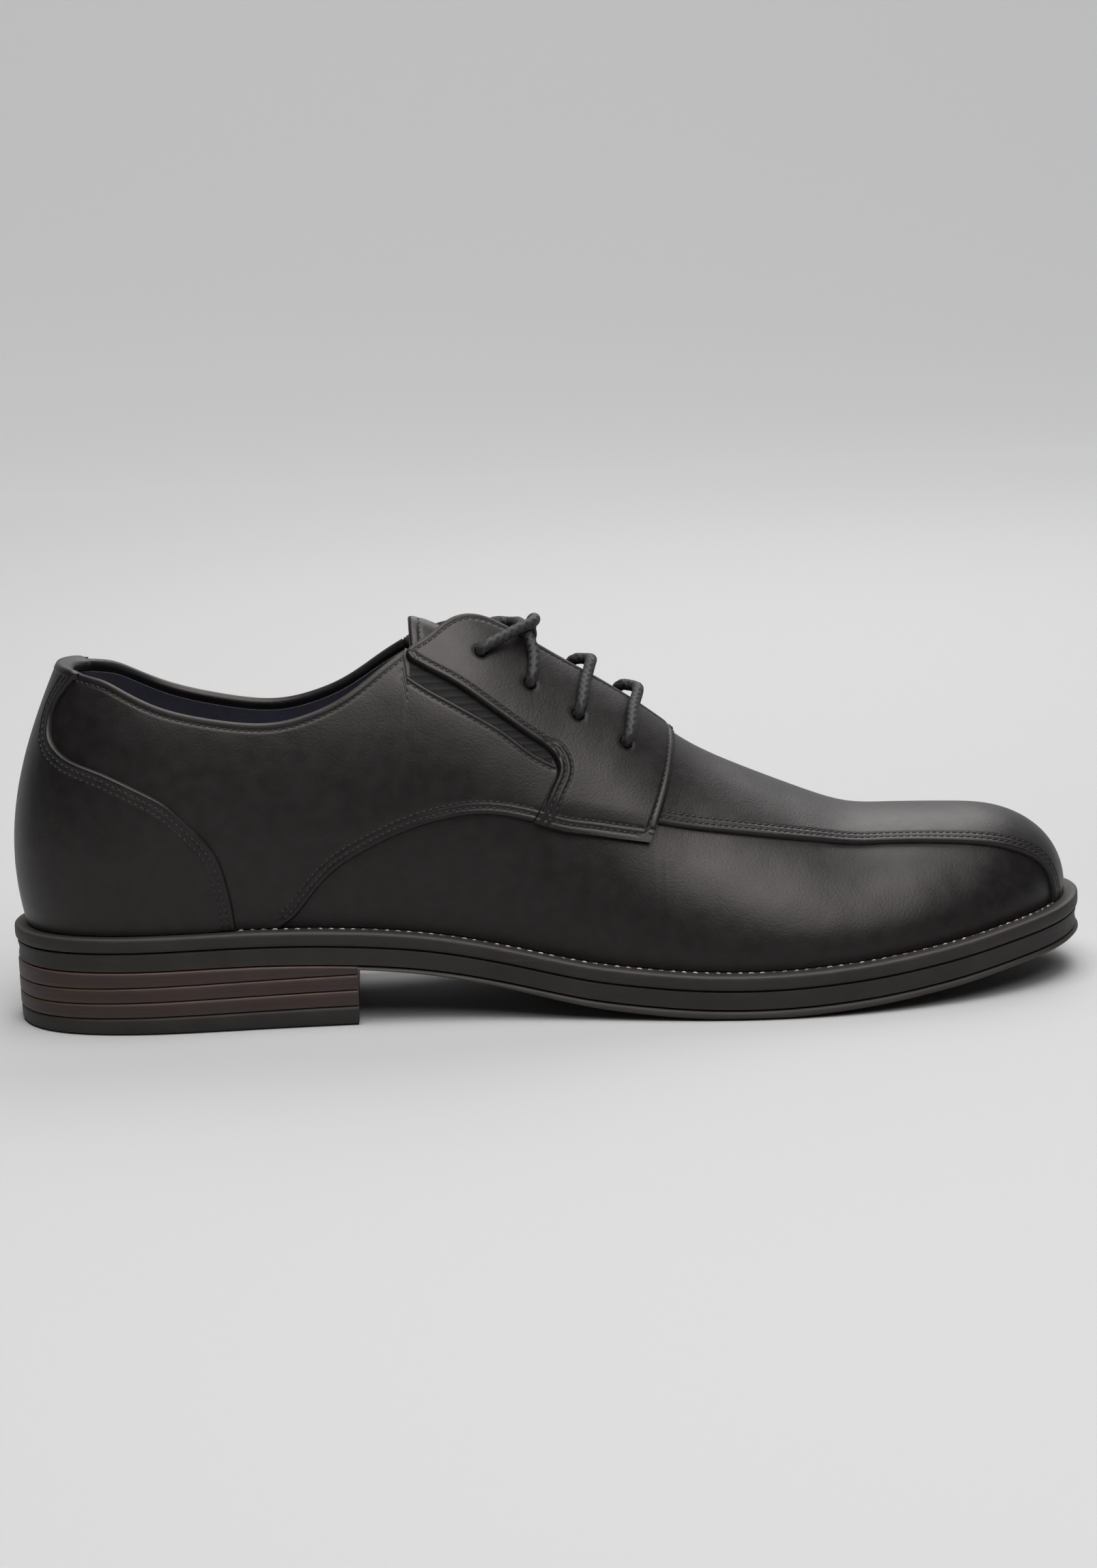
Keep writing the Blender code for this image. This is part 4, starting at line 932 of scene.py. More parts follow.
def lace_tube(name, route, sizes, step=0.0003, around=28):
    """A round braid along a spline through the route. Its radius swells with the higher of two sines that
    wind round it both ways; its frame is carried along so that it doesn't twist."""
    way = way_along(route[:, :3])
    at = np.linspace(0, way[-1], int(way[-1] / step))
    line = np.stack([spline(way, route[:, k], at) for k in range(3)], -1)
    share = np.interp(at, way, route[:, 3])
    along = np.gradient(line, axis=0)
    along /= np.linalg.norm(along, axis=-1, keepdims=True)
    side = np.cross(along[0], [1.0, 0.0, 0.0])
    frames = []
    for direction in along:
        side = side - direction * (side @ direction)
        side = side / np.linalg.norm(side)
        frames.append(side)
    side = np.array(frames)
    other = np.cross(along, side)
    length = way_along(line)
    angle = np.arange(around) * 2 * np.pi / around
    phase = 2 * np.pi * length[:, None] / sizes.braid_pitch
    left = np.cos(BRAID_STRANDS * angle + phase)
    right = np.cos(BRAID_STRANDS * angle - phase)
    swell = 1 - BRAID_DEPTH + BRAID_DEPTH * np.maximum(left, right)
    end = np.sqrt(np.clip(1 - (1 - np.minimum(length, length[-1] - length) / LACE) ** 2, 0, 1))
    end = np.where(np.minimum(length, length[-1] - length) > LACE, 1, end)
    radius = LACE / 2 * (share * end)[:, None] * swell
    points = line[:, None] + radius[..., None] * (
        np.cos(angle)[None, :, None] * side[:, None] + np.sin(angle)[None, :, None] * other[:, None]
    )
    made = add_mesh(name, points, tube_quads(len(line), around), {"raised": swell})
    print(f"lace length {length[-1]:.3f} m")
    return made


class Wire:
    """A node's output that can be used in sums: each sum adds a Math node."""

    def __init__(self, finish, socket):
        self.finish = finish
        self.socket = socket

    def maths(self, operation, *values, clamp=False):
        """A Math node's output for an operation on these values."""
        settings = {"operation": operation, "use_clamp": clamp}
        return self.finish.node("ShaderNodeMath", settings, dict(enumerate(values)))

    def __add__(self, other):
        return self.maths("ADD", self, other)

    def __sub__(self, other):
        return self.maths("SUBTRACT", self, other)

    def __rsub__(self, other):
        return self.maths("SUBTRACT", other, self)

    def __mul__(self, other):
        return self.maths("MULTIPLY", self, other)

    __radd__ = __add__
    __rmul__ = __mul__

    def between(self, low, high):
        """0 under low, 1 over high and even between them."""
        return self.maths("MULTIPLY", self - low, 1 / (high - low), clamp=True)


class Finish:
    """A material and its nodes."""

    def __init__(self, name):
        self.material = bpy.data.materials.new(name)
        self.material.use_nodes = True
        self.tree = self.material.node_tree
        self.surface = self.tree.nodes["Principled BSDF"]

    def node(self, kind, settings=None, sockets=None, out=0):
        """Adds a node of a kind: first its settings, then the values or links of its sockets."""
        made = self.tree.nodes.new(kind)
        for key, value in (settings or {}).items():
            setattr(made, key, value)
        self.connect(made, sockets or {})
        return Wire(self, made.outputs[out])

    def connect(self, node, sockets):
        """Links wires to a node's sockets and sets plain values on them."""
        for key, value in sockets.items():
            if isinstance(value, Wire):
                self.tree.links.new(value.socket, node.inputs[key])
            else:
                node.inputs[key].default_value = value

    def place(self):
        """Place on the shoe, in metres."""
        return self.node("ShaderNodeTexCoord", out="Object")

    def mark(self, name):
        """A value that the mesh holds for each point."""
        return self.node("ShaderNodeAttribute", {"attribute_name": name}, out="Fac")

    def noise(self, place, scale, detail=3.0, roughness=0.5):
        """Soft random patches, scale of them in a metre."""
        return self.node("ShaderNodeTexNoise", {}, {
            "Vector": place, "Scale": scale, "Detail": detail, "Roughness": roughness,
        })

    def cells(self, place, scale, feature="F1"):
        """Distance to the nearest of random points, scale of them in a metre."""
        return self.node("ShaderNodeTexVoronoi", {"feature": feature}, {"Vector": place, "Scale": scale})

    def stretched(self, place, scale):
        """Places scaled along each axis."""
        return self.node("ShaderNodeMapping", {}, {"Vector": place, "Scale": scale})

    def blend(self, share, low, high):
        """A colour between two colours."""
        return self.node("ShaderNodeMix", {"data_type": "RGBA"}, {0: share, 6: low, 7: high}, out=2)

    def bump(self, height, distance, before=None):
        """A normal tilted by a height of this distance, on top of the bump before it."""
        sockets = {"Height": height, "Distance": distance, "Strength": 1.0}
        if before is not None:
            sockets["Normal"] = before
        return self.node("ShaderNodeBump", {}, sockets)

    def finish(self, **sockets):
        """Sets the surface's sockets, named with _ for a space, and gives the material."""
        self.connect(self.surface, {key.replace("_", " "): value for key, value in sockets.items()})
        return self.material


def shade(colour, amount=1.0):
    """A colour for a socket, darker or lighter by an amount."""
    return (*(channel * amount for channel in colour[:3]), 1.0)


def leather_finish(colours, sizes):
    """Black calf: pebbled grain of rounded cells, fine pores, soft waves and a thin polish."""
    made = Finish("black_leather")
    place = made.place()
    broad = made.noise(place, 38.0, 2.0)
    patch = made.noise(place, 240.0, 3.0)
    grain = made.cells(place, 1 / sizes.grain, "SMOOTH_F1")
    pores = made.noise(place, 5200.0, 2.0)
    waves = made.bump(broad, 0.0009)
    pebbles = made.bump(1 - grain * 1.4, sizes.grain_depth, waves)
    fine = made.bump(pores, 0.000008, pebbles)
    dark, light = shade(colours.leather, 0.8), shade(colours.leather, 1.4)
    return made.finish(
        Base_Color=made.blend(patch.between(0.35, 0.7), dark, light),
        Roughness=0.35 + 0.12 * patch + 0.06 * grain,
        Specular_IOR_Level=0.37,
        Specular_Tint=(1.0, 0.93, 0.90, 1.0),
        Coat_Weight=0.05,
        Coat_Roughness=0.35,
        Normal=fine,
    )


def thread_finish(colours):
    """Black thread with a fine twist."""
    made = Finish("black_thread")
    twist = made.noise(made.place(), 3500.0, 1.0)
    return made.finish(
        Base_Color=made.blend(twist, shade(colours.thread, 0.6), shade(colours.thread, 1.7)),
        Roughness=0.55,
        Normal=made.bump(twist, 0.00005),
    )


def glint_thread_finish(colours):
    """Welt thread in the sole's colour in places, and pale elsewhere by noise: the pale colour is painted
    glints.
    """
    made = Finish("glint_painted_thread")
    twist = made.noise(made.place(), 900.0, 2.0)
    return made.finish(
        Base_Color=made.blend(twist.between(0.4, 0.6), shade(colours.sole), shade(colours.welt_thread_glint)),
        Roughness=0.45,
    )


def elastic_finish(colours):
    """Woven elastic: fine ribs across the strip and a slight fuzz."""
    made = Finish("black_elastic")
    place = made.place()
    rows = made.node("ShaderNodeTexWave", {"bands_direction": "Z"}, {
        "Vector": place, "Scale": 160.0, "Distortion": 1.5, "Detail Scale": 40.0,
    }, out="Fac")
    fuzz = made.noise(place, 2500.0)
    return made.finish(
        Base_Color=made.blend(rows, shade(colours.elastic, 0.6), shade(colours.elastic, 1.8)),
        Roughness=0.85,
        Normal=made.bump(rows + fuzz * 0.4, 0.00025),
    )


def lining_finish(colours):
    """Navy woven lining with a fuzzy nap."""
    made = Finish("navy_lining")
    place = made.place()
    patch = made.noise(place, 120.0, 4.0)
    nap = made.noise(place, 2600.0, 4.0, 0.7)
    return made.finish(
        Base_Color=made.blend((patch * 0.5 + nap * 0.5).between(0.35, 0.65), shade(colours.lining, 0.6),
                              shade(colours.lining, 1.6)),
        Roughness=0.95,
        Sheen_Weight=0.35,
        Sheen_Roughness=0.5,
        Normal=made.bump(nap, 0.0003),
    )


def sole_finish(colours):
    """Dyed sole edge: matte, faintly scuffed along the sole, paler where its edges are worn."""
    made = Finish("black_sole")
    place = made.place()
    scuff = made.noise(made.stretched(place, (60.0, 60.0, 900.0)), 1.0, 5.0, 0.65)
    patch = made.noise(place, 90.0, 3.0)
    worn = made.mark("worn") * (0.35 + 0.65 * patch)
    base = made.blend(patch.between(0.35, 0.7), shade(colours.sole, 0.8), shade(colours.sole, 1.3))
    scuffed = made.blend(scuff.between(0.62, 0.75) * 0.5, base, shade(colours.worn_edge, 0.7))
    return made.finish(
        Base_Color=made.blend(worn * 0.7, scuffed, shade(colours.worn_edge)),
        Roughness=0.52 + 0.2 * scuff,
        Normal=made.bump(scuff, 0.0001, made.bump(patch, 0.0003)),
    )


def heel_finish(colours):
    """Stacked leather: dark brown with layered streaks, a thin paler line along each joint."""
    made = Finish("brown_heel")
    place = made.place()
    streak = made.noise(made.stretched(place, (35.0, 35.0, 1600.0)), 1.0, 4.0, 0.6)
    patch = made.noise(place, 110.0, 3.0)
    base = made.blend((streak * 0.6 + patch * 0.4).between(0.35, 0.65), shade(colours.heel, 0.75),
                      shade(colours.heel, 1.25))
    return made.finish(
        Base_Color=made.blend(made.mark("worn") * (0.45 + 0.5 * patch), base, shade(colours.heel_line)),
        Roughness=0.50 + 0.15 * streak,
        Normal=made.bump(streak, 0.00012),
    )


def lace_finish(colours):
    """Waxed cotton braid: painted shade in its furrows against lighter dull ridges, and stray pale specks on
    the ridges only.
    """
    made = Finish("waxed_lace")
    place = made.place()
    ridge_share = made.mark("raised").between(0.90, 1.0)
    fibre = made.noise(place, 2800.0, 3.0)
    specks = made.noise(place, 1500.0, 1.0).between(0.70, 0.76)
    # Painted shade: the raised mark gives the braid's furrows a darker copy of the lace colour and its ridges
    # a lighter one
    base = made.blend(ridge_share, shade(colours.lace, 0.35), shade(colours.lace, 1.3))
    return made.finish(
        Base_Color=made.blend(specks * 0.6 * ridge_share, base, (0.22, 0.21, 0.20, 1.0)),
        Roughness=0.55 + 0.15 * fibre,
        Normal=made.bump(fibre, 0.00006),
    )


FINISHES = {
    "black_leather": leather_finish,
    "thread": thread_finish,
    "welt_thread_glint": glint_thread_finish,
    "black_elastic": elastic_finish,
    "navy_lining": lining_finish,
    "black_sole": sole_finish,
    "brown_heel": heel_finish,
    "waxed_lace": lace_finish,
}
MADE_FINISHES = {}


def dress(piece, finish, slot, *nodes):
    """Gives a piece its finish and its body, and hides the solids that it stands for; slot is not used."""
    if finish not in MADE_FINISHES:
        scene = bpy.context.scene
        needs = (scene.shoe_colours, scene.shoe_sizes) if finish == "black_leather" else (scene.shoe_colours,)
        MADE_FINISHES[finish] = FINISHES[finish](*needs)
    piece.data.materials.append(MADE_FINISHES[finish])
    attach(piece, BODY)
    if nodes:
        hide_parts(*nodes)
    return piece


def colour_value(name, text, default):
    """A colour that the sidebar shows."""
    return bpy.props.FloatVectorProperty(
        name=name, description=text, default=default, size=3, min=0.0, max=1.0, subtype="COLOR",
    )


def length_value(name, text, default):
    """A length that the sidebar shows."""
    return bpy.props.FloatProperty(
        name=name, description=text, default=default, min=0.0, precision=5, unit="LENGTH", subtype="DISTANCE",
    )


class ShoeSizes(bpy.types.PropertyGroup):
    """Fine sizes of the seams, the grain and the lace."""

    stitch_pitch: length_value("Stitch pitch", "Way from one stitch to the next", 0.0019)
    stitch_length: length_value("Stitch length", "Length of one stitch", 0.0016)
    thread_radius: length_value("Thread radius", "Half the thickness of the thread", 0.00023)
    trough_depth: length_value("Trough depth", "How deep a seam presses into the leather", 0.00024)
    trough_width: length_value("Trough width", "Reach of a seam's trough to each side", 0.00048)
    edge_roll: length_value("Edge roll", "Reach of the round at a piece's free edge", 0.0008)
    collar_roll: length_value("Collar roll", "Reach of the round at the collar's edge", 0.0013)
    grain: length_value("Grain", "Size of the leather's pebbles", 0.00060)
    grain_depth: length_value("Grain depth", "Height of the leather's pebbles", 0.00003)
    braid_pitch: length_value("Braid pitch", "Way along the lace from one braid to the next", 0.0026)
    joint_pitch: length_value("Joint pitch", "Way from one welt stitch to the next", 0.0031)


class ShoeColours(bpy.types.PropertyGroup):
    """Colours of the shoe's materials."""

    leather: colour_value("Leather", "Black calf of the upper", (0.0075, 0.0068, 0.0068))
    thread: colour_value("Thread", "Thread of the upper's seams", (0.012, 0.012, 0.013))
    # Painted glints: the welt thread's pale colour stands in for the glints on its stitches
    welt_thread_glint: colour_value("Welt thread", "Pale thread where upper and welt meet", (0.42, 0.40, 0.38))
    lining: colour_value("Lining", "Navy cloth inside the shoe", (0.018, 0.018, 0.040))
    elastic: colour_value("Elastic", "Elastic strips in the slits", (0.008, 0.008, 0.009))
    sole: colour_value("Sole", "Dyed edge of welt, midsole and tread", (0.012, 0.010, 0.009))
    worn_edge: colour_value("Worn edge", "Rubbed edges of the sole's layers", (0.075, 0.062, 0.055))
    heel: colour_value("Heel", "Stacked leather of the heel", (0.028, 0.015, 0.013))
    heel_line: colour_value("Heel lines", "Joints between the heel's layers", (0.115, 0.070, 0.055))
    lace: colour_value("Lace", "Waxed cotton of the lace", (0.016, 0.015, 0.015))
    floor: colour_value("Floor", "Pale floor under the shoe", (0.48, 0.48, 0.48))


# Lasted wall: gap to the panels over it, its thickness where it rolls over, and how its rows crowd upwards
WALL_GAP = 0.00002
ROLLED_WALL = WALL - 0.0001
WALL_CROWDING = 1.6

# Lining: gap to the wall, its thickness, and the shares up the last where it starts and may end
LINING_GAP = 0.00003
LINING = 0.0004
LINING_START = 0.05
LINING_END = 0.94
LINING_DROP = 0.030

# Heel tab: its ends in turn, its inner side, half its height, how square its ring is and how round its ends
TAB_TURN = 0.099
TAB_INNER = -LINING - 0.0004
TAB_OUTER = COUNTER_TOP + 0.00015
TAB_HALF_HEIGHT = 0.0016
TAB_SQUARENESS = 0.7
TAB_END_POWER = 24
TAB_CENTRE_DROP = 0.012
TAB_STEPS = (0.002, 0.022)

# Facing: its underside comes down to the wall within these distances of its sewn edges
SEWN_REACH = (0.003, 0.006)
CUTTER_HEIGHT = 0.008

# Tongue: place of its stitches under its top, and the end of its lift along the shoe
TONGUE_ROW = 0.003
TONGUE_LIFT_END = 0.435
TONGUE_LIFT_FALL = 0.35
TONGUE_GUESS = 0.8
TONGUE_ROW_ENDS = 8

# Elastic: how far it starts behind the collar's end, and goes under both edges of the slit
GORE_START = 0.003
GORE_TUCK = 0.006


def mates(turns):
    """turns round the inner side whose sections meet those of the outer side at the ridge."""
    fine = np.linspace(0, 1, 4001)
    middle_x = np.maximum.accumulate(last_point(fine, 1.0)[:, 0])
    return np.interp(last_point(turns, 1.0)[..., 0], middle_x, fine)


def build_vamp(sizes, count=190, rows=54):
    """The lasted wall, whole from the feather to its edge. Its inside comes out over a quarter circle at the
    collar and the throat, and its two sides meet where the last is closed on top."""
    corners = [COLLAR_END, THROAT[8][0], THROAT[9][0], THROAT_END]
    outer_side = -np.sort(np.concatenate([crowd(count, 0.35), corners]))[::-1]
    turns = np.concatenate([outer_side, mates(outer_side[1:-1])[::-1]])
    mate = (len(turns) - np.arange(len(turns))) % len(turns)
    top = opening(turns)
    top = np.minimum(top, top[mate])
    closed = top > 1 - 1e-9
    up = top[:, None] * (1 - (1 - np.linspace(0, 1, rows)) ** WALL_CROWDING)
    turn = np.broadcast_to(turns[:, None], up.shape)
    edge = skin(turns[~closed], top[~closed])
    share = np.clip(1 - distance_to(skin(turn, up), edge) / sizes.collar_roll, 0, 1)
    inside = ROLLED_WALL * (1 - np.sqrt(1 - share**2))
    grids = []
    for off in (WALL - WALL_GAP, inside):
        grid = skin(turn, up, off)
        meeting = np.where(closed & (turns > 0))[0]
        grid[meeting, -1] = grid[mate[meeting], -1]
        grids.append(grid)
    return shell("vamp_leather", *grids, loop=True, closed=closed)


def build_lining(count=240, rows=40):
    """Cloth over the wall's inner face, from above the insole to just under the wall's edge."""
    turns = np.concatenate([-np.linspace(1, 0, count), np.linspace(0, 1, count)[1:-1]])
    top = np.minimum(opening(turns) - LINING_DROP, LINING_END)
    up = LINING_START + (top[:, None] - LINING_START) * np.linspace(0, 1, rows)
    grids = [skin(turns[:, None], up, off) for off in (-LINING_GAP, -LINING)]
    return shell("lining", *grids, loop=True)


def build_heel_tab(columns=120, around=40):
    """Folded lip of the counter over the collar: a squared ring carried along the collar round the heel. Its
    width and height follow a power of cosine and sine, and both shrink to nothing at its ends."""
    turn = np.linspace(-TAB_TURN, TAB_TURN, columns)
    top = opening(turn)
    angle = np.arange(around) * 2 * np.pi / around
    across, rise = (
        np.sign(wave) * np.abs(wave) ** TAB_SQUARENESS * half
        for wave, half in (
            (np.cos(angle), (TAB_OUTER - TAB_INNER) / 2),
            (np.sin(angle), TAB_HALF_HEIGHT),
        )
    )
    end = np.sqrt(np.clip(1 - (np.abs(turn) / (TAB_TURN + 0.0001)) ** TAB_END_POWER, 0, 1))[:, None]
    centre = skin(turn, top - TAB_CENTRE_DROP, (TAB_OUTER + TAB_INNER) / 2)
    normal = outward(turn, top - TAB_CENTRE_DROP)
    rising = skin(turn, top - TAB_STEPS[0]) - skin(turn, top - TAB_STEPS[1])
    rising /= np.linalg.norm(rising, axis=-1, keepdims=True)
    points = centre[:, None] + (across * end)[..., None] * normal[:, None]
    points = points + (rise * end)[..., None] * rising[:, None]
    return add_mesh("heel_tab", points, tube_quads(columns, around))


def build_facing(name, sign, sizes):
    """A facing: its outside is the facing's level less its sink, its troughs and a bell-shaped dip round each
    eyelet, and its underside lies on the wall where it is sewn down and over the strip at the front."""
    turn, up, edges = facing_grid(sign)
    top = facing_top(turn, up, sign) - facing_sink(turn, up)
    lip = smooth(LIP_START, LIP_END, np.abs(turn))
    sewn = skin(*np.concatenate([np.stack(e[:2], -1) for e in edges[:3]]).T)
    near = 1 - smooth(*SEWN_REACH, distance_to(skin(turn, up), sewn))
    base = FIRST_LEVEL - (FIRST_LEVEL - WALL) * near * (1 - lip) + (SECOND_LEVEL - FIRST_LEVEL) * lip
    lines = [(skin(*line, top.mean()), rows) for *line, rows in edges]
    outside = skin(turn, up, top)
    height, trough = relief(outside, lines, sizes, sizes.edge_roll)
    for eye_turn, eye_up in EYELETS:
        away = np.linalg.norm(outside - skin(sign * eye_turn, eye_up, top.mean()), axis=-1)
        trough += HOLE_DIP * np.exp(-(((away - EYELET / 2) / HOLE_REACH) ** 2))
    flap = shell(name, skin(turn, up, base + (top - base) * height - trough), skin(turn, up, base))
    return pierce(flap, sign)


def pierce(flap, sign, sides=32):
    """Cuts the four round eyelets: one cutter of four cylinders along the surface's normals."""
    angle = np.arange(sides) * 2 * np.pi / sides
    rings = []
    for eye_turn, eye_up in EYELETS:
        low, high = (skin(sign * eye_turn, eye_up, off) for off in (0.0, CUTTER_HEIGHT))
        axis = (high - low) / np.linalg.norm(high - low)
        across = np.cross(axis, [1.0, 0.0, 0.0])
        across /= np.linalg.norm(across)
        other = np.cross(axis, across)
        circle = EYELET / 2 * (np.cos(angle)[:, None] * across + np.sin(angle)[:, None] * other)
        rings.append(np.stack([low + 0 * circle, low + circle, high + circle, high + 0 * circle]))
    quads = tube_quads(4, sides)
    faces = np.concatenate([quads + k * 4 * sides for k in range(len(rings))])
    cutter = add_mesh("eyelet_cutter", np.concatenate([r.reshape(-1, 3) for r in rings]), faces)
    cut = flap.modifiers.new("eyelets", "BOOLEAN")
    cut.operation = "DIFFERENCE"
    cut.object = cutter
    graph = bpy.context.evaluated_depsgraph_get()
    mesh = bpy.data.meshes.new_from_object(flap.evaluated_get(graph))
    flap.modifiers.clear()
    flap.data = mesh
    bpy.data.objects.remove(cutter)
    return flap


def build_tongue(sizes, columns=61, rows=110):
    """The tongue under the facings and the line of its stitches. Its way across is eased over the ridge by a
    hypotenuse, which crowns it, and it is lifted a little at the ankle."""
    across = 2 * crowd(columns, 0.6) - 1
    x = (TONGUE_TOP + (TONGUE_END - TONGUE_TOP) * crowd(rows, 0.6) - 0.5) * LENGTH
    widening = smooth(TONGUE_TOP, 0.5, share_along(x))
    half = TONGUE_ANKLE_HALF_WIDTH + (TONGUE_HALF_WIDTH - TONGUE_ANKLE_HALF_WIDTH) * widening
    away = across[:, None] * half
    eased = np.where(away < 0, -1, 1) * np.hypot(away, TONGUE_CROWN)
    turn, up = on_plan(x[None, :], ridge(x)[1] + eased, TONGUE_GUESS)
    fall = 1 - TONGUE_LIFT_FALL * across[:, None] ** 2
    lift = TONGUE_LIFT * (1 - smooth(TONGUE_TOP, TONGUE_LIFT_END, share_along(x))) * fall

    def moved(off):
        """The tongue's grid at a distance from the last."""
        grid = skin(turn, up, off)
        grid[..., 1] += away - eased
        grid[..., 2] += lift
        return grid

    place = moved(-BEND_CLEAR)
    lines = [(line, (TONGUE_ROW,)) for line in (place[0], place[-1], place[:, 0])]
    height, trough = relief(place, lines, sizes, sizes.collar_roll)
    thin = TONGUE / 2 * (1 - height)
    made = shell("tongue_leather", moved(-BEND_CLEAR - thin - trough), moved(-BEND_CLEAR - TONGUE + thin))
    row = int(np.argmin(np.abs(x - x[0] - TONGUE_ROW)))
    keep = slice(TONGUE_ROW_ENDS, -TONGUE_ROW_ENDS)
    normals = np.cross(np.gradient(place, axis=0)[keep, row], np.gradient(place, axis=1)[keep, row])
    normals *= np.sign(normals[:, 2:])
    normals /= np.linalg.norm(normals, axis=-1, keepdims=True)
    return made, (place[keep, row] - sizes.trough_depth * normals * 0.5, normals)


def build_gore(name, sign, columns=70, rows=14):
    """Elastic in the slit between the quarter's top edge and the facing's lower edge."""
    turn = np.linspace(COLLAR_END + GORE_START, SLIT[-1][0], columns)
    low, high = column(SLIT, turn, 1) - GORE_TUCK, column(SLIT, turn, 2) + GORE_TUCK
    up = low[:, None] + (high - low)[:, None] * np.linspace(0, 1, rows)
    turn = sign * np.repeat(turn[:, None], rows, 1)
    return shell(name, skin(turn, up, FIRST_LEVEL), skin(turn, up, WALL))


# Both sides of the shoe: name and sign of turn
SIDES = (("lateral", -1), ("medial", 1))


class PieceOperator:
    """What the operators of the pieces share."""

    bl_options = {"REGISTER", "UNDO"}


class MakeUpper(PieceOperator, bpy.types.Operator):
    """Build the lasted wall of the upper and the cloth lining inside it"""

    bl_idname = "shoe.make_upper"
    bl_label = "Upper and lining"

    def execute(self, context):
        dress(build_vamp(context.scene.shoe_sizes), "black_leather", "black_leather", "upper")
        dress(build_lining(), "navy_lining", "navy_lining")
        return {"FINISHED"}


class MakeStrip(PieceOperator, bpy.types.Operator):
    """Build the strip between the two bicycle seams"""

    bl_idname = "shoe.make_strip"
    bl_label = "Bicycle strip"

    def execute(self, context):
        turn, up, edges = strip_grid()
        piece = panel("strip_leather", turn, up, WALL, STRIP_TOP, edges, context.scene.shoe_sizes)
        dress(piece, "black_leather", "black_leather", "vamp_strip")
        return {"FINISHED"}


class MakeQuarters(PieceOperator, bpy.types.Operator):
    """Build both quarters with their rolled collar edges"""

    bl_idname = "shoe.make_quarters"
    bl_label = "Quarters"

    def execute(self, context):
        for side, sign in SIDES:
            turn, up, edges = quarter_grid(sign)
            name = "quarter_" + side
            piece = panel(name + "_leather", turn, up, WALL, QUARTER_TOP, edges, context.scene.shoe_sizes)
            dress(piece, "black_leather", "black_leather", name)
        return {"FINISHED"}


class MakeFacings(PieceOperator, bpy.types.Operator):
    """Build both facings and punch their eyelets"""

    bl_idname = "shoe.make_facings"
    bl_label = "Facings"

    def execute(self, context):
        for side, sign in SIDES:
            name = "facing_" + side
            piece = build_facing(name + "_leather", sign, context.scene.shoe_sizes)
            dress(piece, "black_leather", "black_leather", name)
        return {"FINISHED"}


class MakeGores(PieceOperator, bpy.types.Operator):
    """Build the elastic strips in the slits"""

    bl_idname = "shoe.make_gores"
    bl_label = "Elastic"

    def execute(self, context):
        for side, sign in SIDES:
            name = "gore_" + side
            dress(build_gore(name + "_elastic", sign), "black_elastic", "black_elastic", name)
        return {"FINISHED"}


class MakeCounter(PieceOperator, bpy.types.Operator):
    """Build the heel counter and its folded tab over the collar"""

    bl_idname = "shoe.make_counter"
    bl_label = "Heel counter"

    def execute(self, context):
        turn, up, edges = counter_grid()
        sizes = context.scene.shoe_sizes
        piece = panel("counter_leather", turn, up, QUARTER_TOP, COUNTER_TOP, edges, sizes)
        dress(piece, "black_leather", "black_leather", "counter")
        dress(build_heel_tab(), "black_leather", "black_leather")
        return {"FINISHED"}


class MakeTongue(PieceOperator, bpy.types.Operator):
    """Build the tongue and the row of stitches along its top"""

    bl_idname = "shoe.make_tongue"
    bl_label = "Tongue"

    def execute(self, context):
        sizes = context.scene.shoe_sizes
        piece, seam = build_tongue(sizes)
        dress(piece, "black_leather", "black_leather", "tongue")
        thread = sizes.stitch_pitch, sizes.stitch_length, sizes.thread_radius
        dress(stitches("tongue_stitches", [seam], *thread), "thread", "black_leather")
        return {"FINISHED"}


# Welt's top inside its rounded edge, with its worn share, and the insole's edge: further inset, share of its
# thickness
WELT_TOP_INSET = 0.0020
WELT_TOP_WORN = 0.2
INSOLE_EDGE = FEATHER_INSET_HEEL + 0.0008
INSOLE_SIDE = (
    (0.0000, 0.0), (0.0000, 0.9), (0.0006, 1.0),
)


def shifted(height, step):
    """A height function moved up by a step."""
    return lambda x: height(x) + step


def sloped(ends):
    """Height function of a joint that runs straight from the heel's back to its breast."""
    return lambda x: ends[0] + (ends[1] - ends[0]) * (x + LENGTH / 2) / HEEL_BREAST


class MakeSole(PieceOperator, bpy.types.Operator):
    """Build the insole, the welt, the midsole and the tread layer"""

    bl_idname = "shoe.make_sole"
    bl_label = "Insole and sole"

    def execute(self, context):
        gap = CLEAR / 2
        welt_low = shifted(seat, gap - WELT)
        midsole_top = shifted(seat, -gap - WELT)
        midsole_low = shifted(seat, gap - WELT - MIDSOLE)
        tread_top = shifted(seat, -gap - WELT - MIDSOLE)
        breast = -LENGTH / 2 + HEEL_BREAST
        rings, worn = layer(WELT_SIDE, welt_low, seat, ring)
        rings += [ring(WELT_TOP_INSET, seat), ring(WELT_WIDTH, seat), ring(WELT_WIDTH, welt_low)]
        welt = stacked("welt_strip", rings, worn + [WELT_TOP_WORN, 0.0, 0.0], hollow=True)
        dress(welt, "black_sole", "black_sole", "welt")
        midsole = stacked("midsole_layer", *layer(MIDSOLE_SIDE, midsole_low, midsole_top, ring))
        dress(midsole, "black_sole", "black_sole", "midsole")
        rings, worn = layer(TREAD_SIDE, tread_bottom, tread_top, lambda inset, z: ring(inset, z, breast))
        dress(stacked("tread_layer", rings, worn), "black_sole", "black_sole", "outsole")
        rings = [ring(WELT_WIDTH + CLEAR, shifted(low, CLEAR)) for low in (midsole_top, seat)]
        rings += [ring(INSOLE_EDGE + inset, shifted(seat, CLEAR + INSOLE * k)) for inset, k in INSOLE_SIDE]
        dress(stacked("sock", rings, [0.0] * len(rings)), "navy_lining", "navy_lining", "insole")
        return {"FINISHED"}


